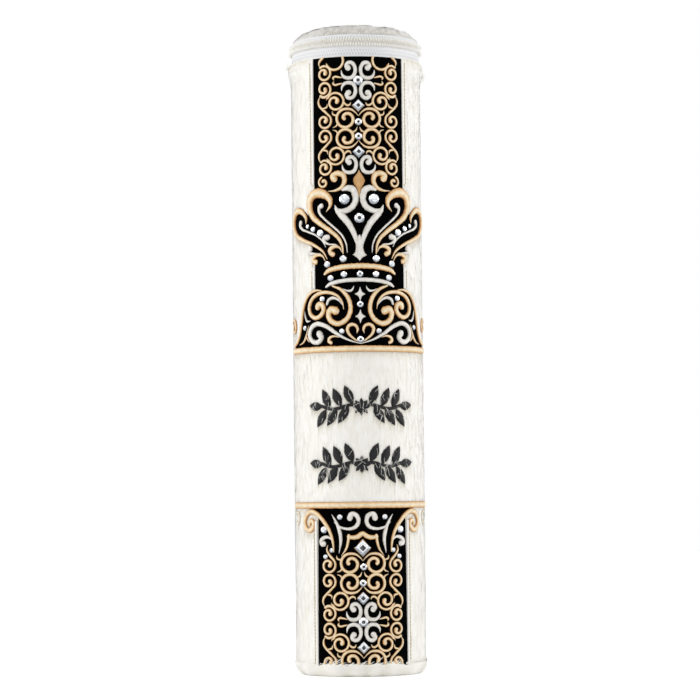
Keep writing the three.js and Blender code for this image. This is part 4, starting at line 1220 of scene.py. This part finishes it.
lower_tape = tape("zip_tape_lower", [
    (tape_radius, tape_low.z),
    (tape_radius, hide_high.z - 1 * mm),
    (tape_radius + 0.35 * mm, hide_high.z + 1.5 * mm),
    (tape_radius + 0.5 * mm, hide_high.z + 4.2 * mm),
    (tape_radius, tape_high.z),
    (tape_radius - tape_thickness, tape_high.z),
    (tape_radius - tape_thickness, tape_low.z),
], tape_half_angle, level=hide_high.z / mm)
dress(lower_tape, tape_white, "case", "zip_tape", 40, "lower_zip_tape")
half_zip("lower", "case", -1, coil_start)

# Nickel plate on the stops, the slider and the pull: bright, with fine tumbling marks.
nickel = patterned(
    "nickel-plated zinc", "#C8C7C3", 0.24, "Noise", {"Scale": 1 / (0.3 * mm), "Detail": 3},
    [(0.3, "#C2C1BD"), (0.7, "#CECDC9")], values={"Metallic": 1.0},
)
nickel_marks = nickel.node_tree.nodes["Noise Texture"]
nickel_rough = add_node(nickel, "MapRange", {"To Min": 0.2, "To Max": 0.28}, {
    "Value": nickel_marks.outputs["Fac"],
})
wire(nickel, "Roughness", nickel_rough.outputs["Result"])
for word in ("right", "left"):
    wear(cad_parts[f"zip_stop_{word}"], nickel)

# The lid: satin under the board, a crowned foam disc over it, and a round of hair-on hide drawn
# over both. The hide ends as a cut edge that laps the top of the zip tape.
pad_low, pad_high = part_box("lid_pad")
lining_disc_low, lining_disc_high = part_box("lid_lining")
lid_edge = 33.2 * mm
lid_lap = 335.9 * mm
lid_rise = 7.2 * mm
lid_skin_thickness = 0.9 * mm
crown_shares = [(1, 0), (0.982, 0.11), (0.955, 0.213), (0.938, 0.279), (0.903, 0.393),
                (0.858, 0.531), (0.813, 0.618), (0.752, 0.706), (0.602, 0.824), (0.452, 0.897),
                (0.238, 0.971), (0, 1)]


def lid_line(edge, low, rise):
    """The curve of the lid from its edge to its middle, as (radius, height) points."""
    return [(out * edge, low + up * rise) for out, up in crown_shares]


# Cream upholstery foam with open cells
foam = patterned(
    "cream upholstery foam", "#DDD6C2", 0.95, "Voronoi", {"Scale": 1 / (0.7 * mm)},
    [(0, "#C8BFA6"), (0.5, "#E6E0CF")], bump=(0.6, 0.3),
)
under_lid = lid_line(lid_edge - 0.35 * mm, lid_lap + 0.15 * mm, lid_rise - lid_skin_thickness)
foam_crown = [(r, z - 0.2 * mm) for r, z in under_lid if r < pad_high.x - 0.5 * mm]
foam_disc = spun("lid_foam", [
    (0, pad_low.z), (pad_high.x, pad_low.z), (pad_high.x, foam_crown[0][1] - 0.6 * mm), *foam_crown,
])
dress(foam_disc, foam, "lid", "foam", 50, "lid_pad")

over_lid = lid_line(lid_edge, lid_lap, lid_rise)
lid_skin = spun("hide_lid", over_lid + under_lid[::-1] + over_lid[:1])
dress(lid_skin, skin, "lid", "hair_hide", 50, "lid_hide")

lid_satin = spun("lid_satin", [
    (0, lining_disc_low.z - 0.6 * mm),
    (lining_disc_high.x * 0.5, lining_disc_low.z - 0.4 * mm),
    (lining_disc_high.x * 0.85, lining_disc_low.z),
    (lining_disc_high.x, lining_disc_low.z + 0.35 * mm),
    (lining_disc_high.x, lining_disc_high.z),
    (0, lining_disc_high.z),
])
dress(lid_satin, lining_satin, "lid", "lining_satin", 50, "lid_lining")

# Upper half of the zip: the same tape and coil, leaning in from the parting to the lid. The free
# edge of the tape is folded in under the hide and glued down round the board.
upper_tape_top = 336.9 * mm
leant_radius = 31.9 * mm
tape_bulge = [(33.65 * mm, parting + 2.2 * mm), (34.05 * mm, parting + 2.9 * mm),
              (33.65 * mm, parting + 3.9 * mm), (32.9 * mm, parting + 5.0 * mm)]
fold_radius = 29.95 * mm
fold_thickness = 0.4 * mm
fold_foot = parting + 2.7 * mm
upper_outside = [(tape_radius, parting + 0.4 * mm), (tape_radius, parting + 1.5 * mm), *tape_bulge,
                 (leant_radius, upper_tape_top)]


def folded_in(outside):
    """The section of a tape that runs up to the lid, with its end folded in under the hide."""
    return [
        *outside, (fold_radius + 0.2 * mm, upper_tape_top), (fold_radius, upper_tape_top - 0.4 * mm),
        (fold_radius, fold_foot), (fold_radius + fold_thickness, fold_foot),
        (fold_radius + fold_thickness, upper_tape_top - 0.7 * mm),
        *[(r - tape_thickness, min(z, upper_tape_top - 0.5 * mm)) for r, z in reversed(outside)],
    ]


upper_tape = tape("zip_tape_upper", folded_in(upper_outside), tape_half_angle,
                  level=upper_tape_top / mm + 0.6)
dress(upper_tape, tape_white, "lid", "zip_tape", 40, "upper_zip_tape")
half_zip("upper", "lid", 1, coil_start + tooth_step / 2)

# Cloth hinge: one strip of the same tape sewn to the case and to the lid at the back, across the
# parting line. The ends of the zip tape are gathered into it on each side.
hinge_half_angle = 22.3
hinge_lap = 0.2 * mm
hem_steps = (0, 5, 10, 13)
bend_steps = (-3, -2, -1.3, -0.7, 0, 0.7, 1.5)
# The cloth is drawn in small rows from behind the hem up to the lid.
hinge_line = [
    *[(tape_radius, tape_low.z + step * mm) for step in hem_steps],
    *[(tape_radius, parting + step * mm) for step in bend_steps],
    *tape_bulge, (leant_radius, upper_tape_top),
]
hinge = tape("zip_hinge_cloth", folded_in([(r + hinge_lap, z) for r, z in hinge_line]),
             hinge_half_angle, 180, level=hide_high.z / mm)
wear(hinge, tape_white)
smooth(hinge, 40)
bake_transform(hinge)
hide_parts("hinge_strip_lower", "hinge_strip_upper")

# Slider and pull: die-cast zinc, nickel plated. The slider is two plates joined at the nose, with
# a bridge over the upper one that holds the pull tab. It is parked at the back right.
wear(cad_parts["pull_tab"], nickel)
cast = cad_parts["slider_body"]
cast.modifiers.new("joined_corners", "WELD").merge_threshold = 0.01 * mm
rounding = cast.modifiers.new("cast_edges", "BEVEL")
rounding.width = 0.22 * mm
rounding.segments = 3
rounding.limit_method = "ANGLE"
rounding.angle_limit = math.radians(35)
wear(cast, nickel)

# Hair on the case: short white hair that lies down the case in soft locks. Each hair is a narrow
# tapered blade rooted in the hide, and hair that would cover the front ornament is trimmed there.
hair_density = 4.0
hair_length = (5.5, 10.0)
hair_width = (0.24, 0.42)
hair_lift = (0.06, 0.28)
hair_foot = 6.5
hair_parts = np.array([0, 0.36, 0.72, 1.0])
hair_taper = np.array([0.75, 1.0, 0.7, 0.0])
hair_arch = np.array([0.0, 0.8, 0.9, 0.2])
hair_tilt = 0.07
root_lift = 0.08
shortest_hair = 1.8
lock_width = 1.7
lock_height = 6.0
lock_seed = 5.0
lock_pull = 0.5
lock_turn = 0.16
stray_turn = 0.09
full_lift = 8
flat_foot = 0.45
flat_height = 75
mask_step = 0.25
mask_half = 110
mask_top = 330
mask_margin = 0.35
mask_ends = 0.5


def scattered(value):
    """The part after the point: it scatters a large number over 0 to 1."""
    return np.modf(value)[0]


def lock_offsets(u, z, seed):
    """How far each root is from the middle of its lock, and one random value for the lock."""
    # The factors are large and uneven, so that no two locks beside each other are alike.
    column = np.floor(u / lock_width)
    shift = scattered(np.abs(np.sin(column * 12.9898 + seed) * 43758.5453))
    row = np.floor(z / lock_height + shift)
    grain = np.abs(np.sin(column * 78.233 + row * 37.719 + seed) * 24634.6345)
    middle = (column + 0.25 + 0.5 * scattered(grain * 7.31)) * lock_width
    return middle - u, scattered(grain)


def sway(u, z):
    """The slow turning of the hair's lie over the case, in radians."""
    return (0.11 * np.sin(u / 13 + z / 31) + 0.10 * np.sin(u / 7.3 - z / 17 + 1.7)
            + 0.07 * np.sin(z / 6.0 + u / 9) + 0.07 * np.sin(u / 3.1 - z / 8.5))


def ornament_mask():
    """True where the front is covered by satin, ribbon or stitching, on a grid of u and z."""
    u = np.arange(-mask_half, mask_half, mask_step)
    z = np.arange(0, mask_top, mask_step)
    covered = np.zeros((len(z), len(u)), bool)
    for side in (upper_side, lower_side):
        outline = np.array(with_mirror(side))
        after = np.roll(outline, -1, axis=0)
        for row, level in enumerate(z):
            crosses = (outline[:, 1] > level) != (after[:, 1] > level)
            (start_u, start_z), (end_u, end_z) = outline[crosses].T, after[crosses].T
            cut = np.sort(start_u + (level - start_z) / (end_z - start_z) * (end_u - start_u))
            for left, right in zip(cut[::2], cut[1::2]):
                covered[row, (u >= left) & (u <= right)] = True
    edge = strip_half + ribbon_width + mask_margin
    for _, foot, top in ribbon_runs:
        rows = (z >= foot - mask_ends) & (z <= top + mask_ends)
        covered[np.ix_(rows, np.abs(u) <= edge)] = True
    lines = both_sides([crown_hook, crown_wing, white_comma, outer_comma, bell_edge, side_scroll,
                        corner_hook, pale_loop])
    for level in garland_levels:
        lines += garland_lines(level)
    lines += [[(a, level, bar_half) for a in bar_span] for level in (upper_bar_level, lower_bar_level)]
    for line in lines:
        for a, b, half in smooth_line(line, 0.5):
            rows = np.flatnonzero(np.abs(z - b) <= half)
            columns = np.flatnonzero(np.abs(u - a) <= half)
            within = (z[rows, None] - b) ** 2 + (u[None, columns] - a) ** 2 <= half**2
            covered[np.ix_(rows, columns)] |= within
    return covered


covered = ornament_mask()


def is_covered(u, z):
    """True at each place of the front where the ornament lies."""
    row = np.clip((z / mask_step).astype(int), 0, covered.shape[0] - 1)
    column = np.clip(((u + mask_half) / mask_step).astype(int), 0, covered.shape[1] - 1)
    return covered[row, column]


def hair_piece(name, finish, place, u, s, turn, length, width, lift, bend, tone, body):
    """Hair blades as one piece. place(u, s, lift) gives points, and s runs down from the roots."""
    turn, length, bend = turn[:, None], length[:, None], bend[:, None]
    run_u = u[:, None] + np.sin(turn) * length * hair_parts + bend * hair_parts**1.5
    run_s = s[:, None] + np.cos(turn) * length * hair_parts
    half = width[:, None] / 2 * hair_taper
    roll = (tone[:, None] - 0.5) * 2 * hair_tilt
    levels = root_lift + lift[:, None] * hair_arch
    left, right = (
        place(run_u + sign * np.cos(turn) * half, run_s - sign * np.sin(turn) * half,
              (levels + sign * roll * half) * mm)
        for sign in (-1, 1)
    )
    count = len(u)
    pairs = np.stack([left[:, :3], right[:, :3]], axis=2).reshape(count, 6, 3)
    points = np.concatenate([pairs, left[:, 3:4]], axis=1)
    corners = np.array([0, 1, 3, 0, 3, 2, 2, 3, 5, 2, 5, 4, 4, 5, 6])
    faces = ((np.arange(count) * 7)[:, None] + corners).reshape(-1, 3)
    piece = mesh_piece(name, points.reshape(-1, 3), faces)
    along = np.tile(np.repeat(hair_parts, 2)[:7], count)
    for word, values in (("Tone", np.repeat(tone, 7)), ("Along", along)):
        mark = piece.data.attributes.new(word, "FLOAT", "POINT")
        mark.data.foreach_set("value", values.astype(np.float32))
    # Each hair has a small cell of its own in the layer for baking.
    grid = math.ceil(math.sqrt(count))
    cell = np.stack([np.arange(count) % grid, np.arange(count) // grid], axis=-1) / grid
    spot = np.array([(x, y) for y in (0.2, 0.4, 0.6) for x in (0.3, 0.7)] + [(0.5, 0.8)])
    bake = (cell[:, None, :] + spot[corners] / grid).reshape(-1, 2)
    layer = piece.data.uv_layers.new(name="OFBake")
    layer.data.foreach_set("uv", bake.astype(np.float32).ravel())
    wear(piece, finish)
    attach(piece, body)


def hair_finish(name, dark, middle, light, root_shade):
    """Soft hair, painted a little darker at the roots as painted shade. Each hair has its own tone."""
    made = new_finish(name, middle, 0.6, {
        "Specular IOR Level": 0.3, "Sheen Weight": 0.6, "Sheen Roughness": 0.5,
    })
    tone = add_node(made, "Attribute", {"attribute_name": "Tone"})
    along = add_node(made, "Attribute", {"attribute_name": "Along"})
    colour = add_node(made, "ValToRGB", {"stops": [(0, dark), (0.4, middle), (1, light)]}, {
        "Fac": tone.outputs["Fac"],
    })
    # Towards the root each hair is painted darker, as painted shade deep in the hair
    shade = add_node(made, "ValToRGB", {"stops": [(0, root_shade), (0.5, "#FFFFFF")]}, {
        "Fac": along.outputs["Fac"],
    })
    mixed = add_node(made, "Mix", {"data_type": "RGBA", "blend_type": "MULTIPLY", 0: 0.8}, {
        6: colour.outputs["Color"], 7: shade.outputs["Color"],
    })
    wire(made, "Base Color", mixed.outputs[2])
    return made


def place_on_body(u, s, lift):
    """Places on the case, where s runs down from the zip."""
    return on_case(u, zip_edge - s, lift)


def hair_on_case(name, u, z, chance):
    """Hair at these roots, trimmed where it meets the ornament."""
    free = ~is_covered(u, z)
    u, z = u[free], z[free]
    count = len(u)
    length = chance.uniform(*hair_length, count)
    offset, value = lock_offsets(u, z, lock_seed)
    turn = sway(u, z) + (value - 0.5) * lock_turn + chance.normal(0, stray_turn, count)
    bend = offset * lock_pull
    reach = np.linspace(0.1, 1, 16)
    way_u = u[:, None] + np.sin(turn)[:, None] * length[:, None] * reach + bend[:, None] * reach
    way_z = z[:, None] - np.cos(turn)[:, None] * length[:, None] * reach
    blocked = is_covered(way_u, way_z)
    trimmed = reach[blocked.argmax(axis=1)] * length + chance.uniform(-0.3, 0.5, count)
    cut = np.where(blocked.any(axis=1), trimmed, length)
    cut = np.minimum(cut, (z - hair_foot + chance.uniform(0, 1.5, count)) / np.cos(turn))
    keep = cut > shortest_hair
    u, z, turn, value, cut = u[keep], z[keep], turn[keep], value[keep], cut[keep]
    bend = bend[keep] * cut / length[keep]
    low, high = hair_lift
    lift = (low + (high - low) * value) * np.minimum(1, cut / full_lift)
    lift *= np.clip(flat_foot + z / flat_height, flat_foot, 1)
    tone = np.clip(0.3 + 0.45 * value + chance.normal(0, 0.2, len(u)), 0, 1)
    hair_piece(name, white_hair, place_on_body, u, zip_edge - z, turn, cut,
               chance.uniform(*hair_width, len(u)), lift, bend, tone, "case")


white_hair = hair_finish("short white animal hair", "#F4F0E5", "#F9F7F1", "#FFFEFA", "#F4F0E7")
sector_ends = {
    "front_left": (-30, 0), "front_right": (0, 30), "right": (30, 56), "side_right": (56, 83),
    "back_right": (83, 109.9), "back_left": (-109.9, -83), "side_left": (-83, -56),
    "left": (-56, -30),
}
for number, (word, ends) in enumerate(sector_ends.items()):
    chance = np.random.default_rng(100 + number)
    count = int((ends[1] - ends[0]) * (zip_edge - hair_foot) * hair_density)
    edge_count = count // 30
    u = chance.uniform(*ends, count)
    z = zip_edge - 0.2 - chance.uniform(0, 1, count) * (zip_edge - hair_foot - 2)
    z[:edge_count] = zip_edge + 0.5 - chance.uniform(0, 2.4, edge_count)
    hair_on_case(f"hair_{word}", u, z, chance)

# A few loose hairs lie over the black stitching, as on any brushed hide.
chance = np.random.default_rng(5)
loose_count = 220
loose_lift = 1.35
u = chance.uniform(-29, 29, loose_count)
z = chance.choice(garland_levels, loose_count) + chance.uniform(-8, 12, loose_count)
hair_piece("hair_loose", white_hair, place_on_body, u, zip_edge - z,
           chance.normal(0, 0.5, loose_count), chance.uniform(4, 9, loose_count),
           chance.uniform(0.1, 0.17, loose_count), np.full(loose_count, loose_lift),
           chance.normal(0, 0.8, loose_count), chance.uniform(0.4, 1, loose_count), "case")

# Two tufts stand out at the hem, where the zip pulls it in beside the ribbon.
tuft_count = 70
tuft_side = 54.5
tuft_levels = (321.8, 318.5)
tuft_turns = (2.9, 0.2)
side = np.repeat([-1, 1], tuft_count // 2)
u = side * tuft_side + chance.normal(0, 1.6, tuft_count)
z = np.where(side < 0, *tuft_levels) + chance.normal(0, 0.7, tuft_count)
hair_piece("hair_tufts", white_hair, place_on_body, u, zip_edge - z,
           np.where(side < 0, *tuft_turns) + chance.normal(0, 0.35, tuft_count),
           chance.uniform(2.5, 4.5, tuft_count), chance.uniform(0.2, 0.34, tuft_count),
           chance.uniform(0.6, 2.4, tuft_count), chance.normal(0, 0.6, tuft_count),
           chance.uniform(0.2, 0.9, tuft_count), "case")

# Hair on the welt: longer hair that lies along the roll, from left to right and a little up, and
# pokes over the foot of the satin.
welt_count = 9000
welt_run = welt_corner * math.pi / 2 / mm
stray_share = 0.05
chance = np.random.default_rng(7)


def place_on_welt(s, u, lift):
    """Round the roll: s runs up from the disc under the case, and u runs round the case."""
    bend_turn = np.clip(s / (welt_corner / mm), 0, math.pi / 2)
    above = np.maximum(s - welt_run, 0) * mm
    out = case_radius - welt_corner + (welt_corner + lift) * np.sin(bend_turn)
    turn = u * mm / ornament_radius
    high = np.maximum(welt_corner - (welt_corner + lift) * np.cos(bend_turn), 0.02 * mm) + above
    return np.stack([out * np.sin(turn), -out * np.cos(turn), high], axis=-1)


root_s = chance.uniform(0.15, 1, welt_count) ** 0.8 * (welt_run - 0.5)
root_u = chance.uniform(-mask_half, mask_half, welt_count)
# The hair rises and falls in waves along the roll, and is painted darker where it lies lowest, as painted
# shade between the waves
value = 0.5 + 0.5 * np.sin(root_u / 2.1 + 2 * np.sin(root_u / 9))
strays = chance.uniform(0, 1, welt_count) < stray_share
stray_lean = chance.uniform(0.4, 0.9, welt_count)
welt_turn = np.where(strays, stray_lean, chance.normal(0.12, 0.12, welt_count))
hair_piece("hair_welt", white_hair, place_on_welt, root_s, root_u, welt_turn,
           chance.uniform(5, 9, welt_count), chance.uniform(0.28, 0.5, welt_count),
           0.25 + 0.65 * value, chance.normal(0, 0.4, welt_count),
           np.clip(0.25 + 0.5 * value + chance.normal(0, 0.2, welt_count), 0, 1), "case")

# Hair on the lid: short hair that lies outwards from the middle of the lid in small tufts. Many tufts
# are painted grey as painted shade, less so towards the left and right sides, so the lid looks mottled.
lid_count = 26000
lid_hair_length = (3.6, 6.5)
lid_reach = lid_edge / mm
rim_steep = 6
rim_flatness = 0.55
rim_outwards = 0.8
tuft_width = 1.7
tuft_height = 2.3
standing_tuft = 0.86
lid_hair_painted_shade = hair_finish("white animal hair painted with grey shade", "#A9A49B", "#D3CFC8", "#F6F4F0", "#DFDAD2")
lid_curve = np.array(over_lid[::-1]) / mm
lid_run = run_along(lid_curve)


def place_on_lid(turn, s, lift):
    """Over the lid: s runs out from its middle, and turn goes round it in millimetres at the edge."""
    s = np.minimum(s, lid_run[-1] + 0.5)
    out = np.interp(s, lid_run, lid_curve[:, 0])
    high = np.interp(s, lid_run, lid_curve[:, 1]) - np.maximum(s - lid_run[-1], 0)
    steep = np.clip((s - lid_run[-1] + rim_steep) / rim_steep, 0, 1)
    lift = lift / mm * (1 - rim_flatness * steep)
    out = out + lift * steep * rim_outwards
    high = high + lift * (1 - steep * rim_outwards)
    around = turn / lid_reach
    return np.stack([out * np.sin(around), -out * np.cos(around), high], axis=-1) * mm


chance = np.random.default_rng(11)
root_s = np.sqrt(chance.uniform(0, 1, lid_count)) * (lid_run[-1] - 0.8)
root_u = chance.uniform(-math.pi, math.pi, lid_count) * lid_reach
spread = np.maximum(root_s / lid_reach, 0.05)
# One number for each tuft, scattered over 0 to 1
tuft = np.floor(root_u * spread / tuft_width) * 5.3 + np.floor(root_s / tuft_height) * 3.1
value = scattered(np.abs(np.sin(tuft) * 4375.85))
# The painted grey shade is lessened towards the left and right sides of the lid
sideways = np.abs(np.sin(root_u / lid_reach)) * root_s / lid_run[-1]
less_shade_at_sides = np.clip((sideways - 0.4) / 0.35, 0, 1)
length = chance.uniform(*lid_hair_length, lid_count)
hair_piece("hair_lid", lid_hair_painted_shade, place_on_lid, root_u, root_s,
           chance.normal(0, 0.22, lid_count), length, chance.uniform(0.2, 0.34, lid_count) / spread,
           0.05 + 0.16 * value + 0.5 * (value > standing_tuft), chance.normal(0, 0.4, lid_count),
           np.clip(0.1 + 0.6 * value + 0.5 * less_shade_at_sides + chance.normal(0, 0.16, lid_count), 0, 1), "lid")

# Studio: a plain pale floor, a white surround and soft lamps. The camera is far off with a long
# lens, a little to the left of the front and low, and looks slightly up.
camera_distance = 1.463
camera_height = 0.0912
camera_side_angle = math.radians(2.2)
camera_pitch = math.radians(3.141)
camera_yaw = math.radians(0.171)
camera_roll = math.radians(-0.58)
camera_data = bpy.data.cameras.new("camera")
camera_data.lens = 141.41
camera_data.sensor_width = 36
camera_data.clip_start = 0.05
camera_data.clip_end = 20
camera = placed("camera", camera_data)
heading = Matrix.Rotation(-camera_side_angle + camera_yaw, 4, "Z")
tilt_up = Matrix.Rotation(math.pi / 2 + camera_pitch, 4, "X")
roll = Matrix.Rotation(camera_roll, 4, "Z")
place = Vector((-math.sin(camera_side_angle), -math.cos(camera_side_angle), 0)) * camera_distance
place.z = camera_height
camera.matrix_world = Matrix.Translation(place) @ heading @ tilt_up @ roll
bpy.context.scene.camera = camera

floor_size = 6.0
bpy.ops.object.select_all(action="DESELECT")
bpy.ops.mesh.primitive_plane_add(size=floor_size, location=(0, 0, 0))
floor = bpy.context.object
floor.name = "floor"
floor_paper = new_finish("white seamless paper", "#FFFFFF", 0.9, {"Specular IOR Level": 0.1})
paper_path = add_node(floor_paper, "LightPath")
paper_glow = add_node(floor_paper, "Math", {"operation": "MULTIPLY", 1: 0.3}, {
    0: paper_path.outputs["Is Camera Ray"],
})
floor_paper.node_tree.nodes["Principled BSDF"].inputs["Emission Color"].default_value = (1, 1, 1, 1)
wire(floor_paper, "Emission Strength", paper_glow.outputs["Value"])
wear(floor, floor_paper)

world = bpy.data.worlds.new("surround")
bpy.context.scene.world = world
world.use_nodes = True
sky = world.node_tree.nodes["Background"]
sky_path = add_node(world, "LightPath")
direct = add_node(world, "Math", {"operation": "MAXIMUM"}, {
    0: sky_path.outputs["Is Camera Ray"], 1: sky_path.outputs["Is Glossy Ray"],
})
seen = add_node(world, "Math", {"operation": "MAXIMUM"}, {
    0: direct.outputs["Value"], 1: sky_path.outputs["Is Transmission Ray"],
})
strength = add_node(world, "MapRange", {"To Min": 0.72, "To Max": 1.0}, {
    "Value": seen.outputs["Value"],
})
world.node_tree.links.new(strength.outputs["Result"], sky.inputs["Strength"])
sky.inputs["Color"].default_value = (1, 1, 1, 1)


def soft_lamp(name, place, aim_height, size, power):
    """A large square lamp that faces the case at a height."""
    data = bpy.data.lights.new(name, "AREA")
    data.size = size
    data.energy = power
    lamp = placed(name, data)
    lamp.location = place
    lamp.rotation_mode = "QUATERNION"
    way = Vector((0, 0, aim_height)) - Vector(place)
    lamp.rotation_quaternion = way.to_track_quat("-Z", "Y")


soft_lamp("left", (-1.5, -0.15, 0.5), 0.17, 0.9, 6.6)
soft_lamp("right", (1.5, -0.1, 0.5), 0.17, 0.9, 6.2)
soft_lamp("top", (-0.2, -0.4, 1.6), 0.3, 0.8, 3)
bpy.context.scene.view_settings.view_transform = "Standard"
bpy.context.scene.cycles.diffuse_bounces = 8
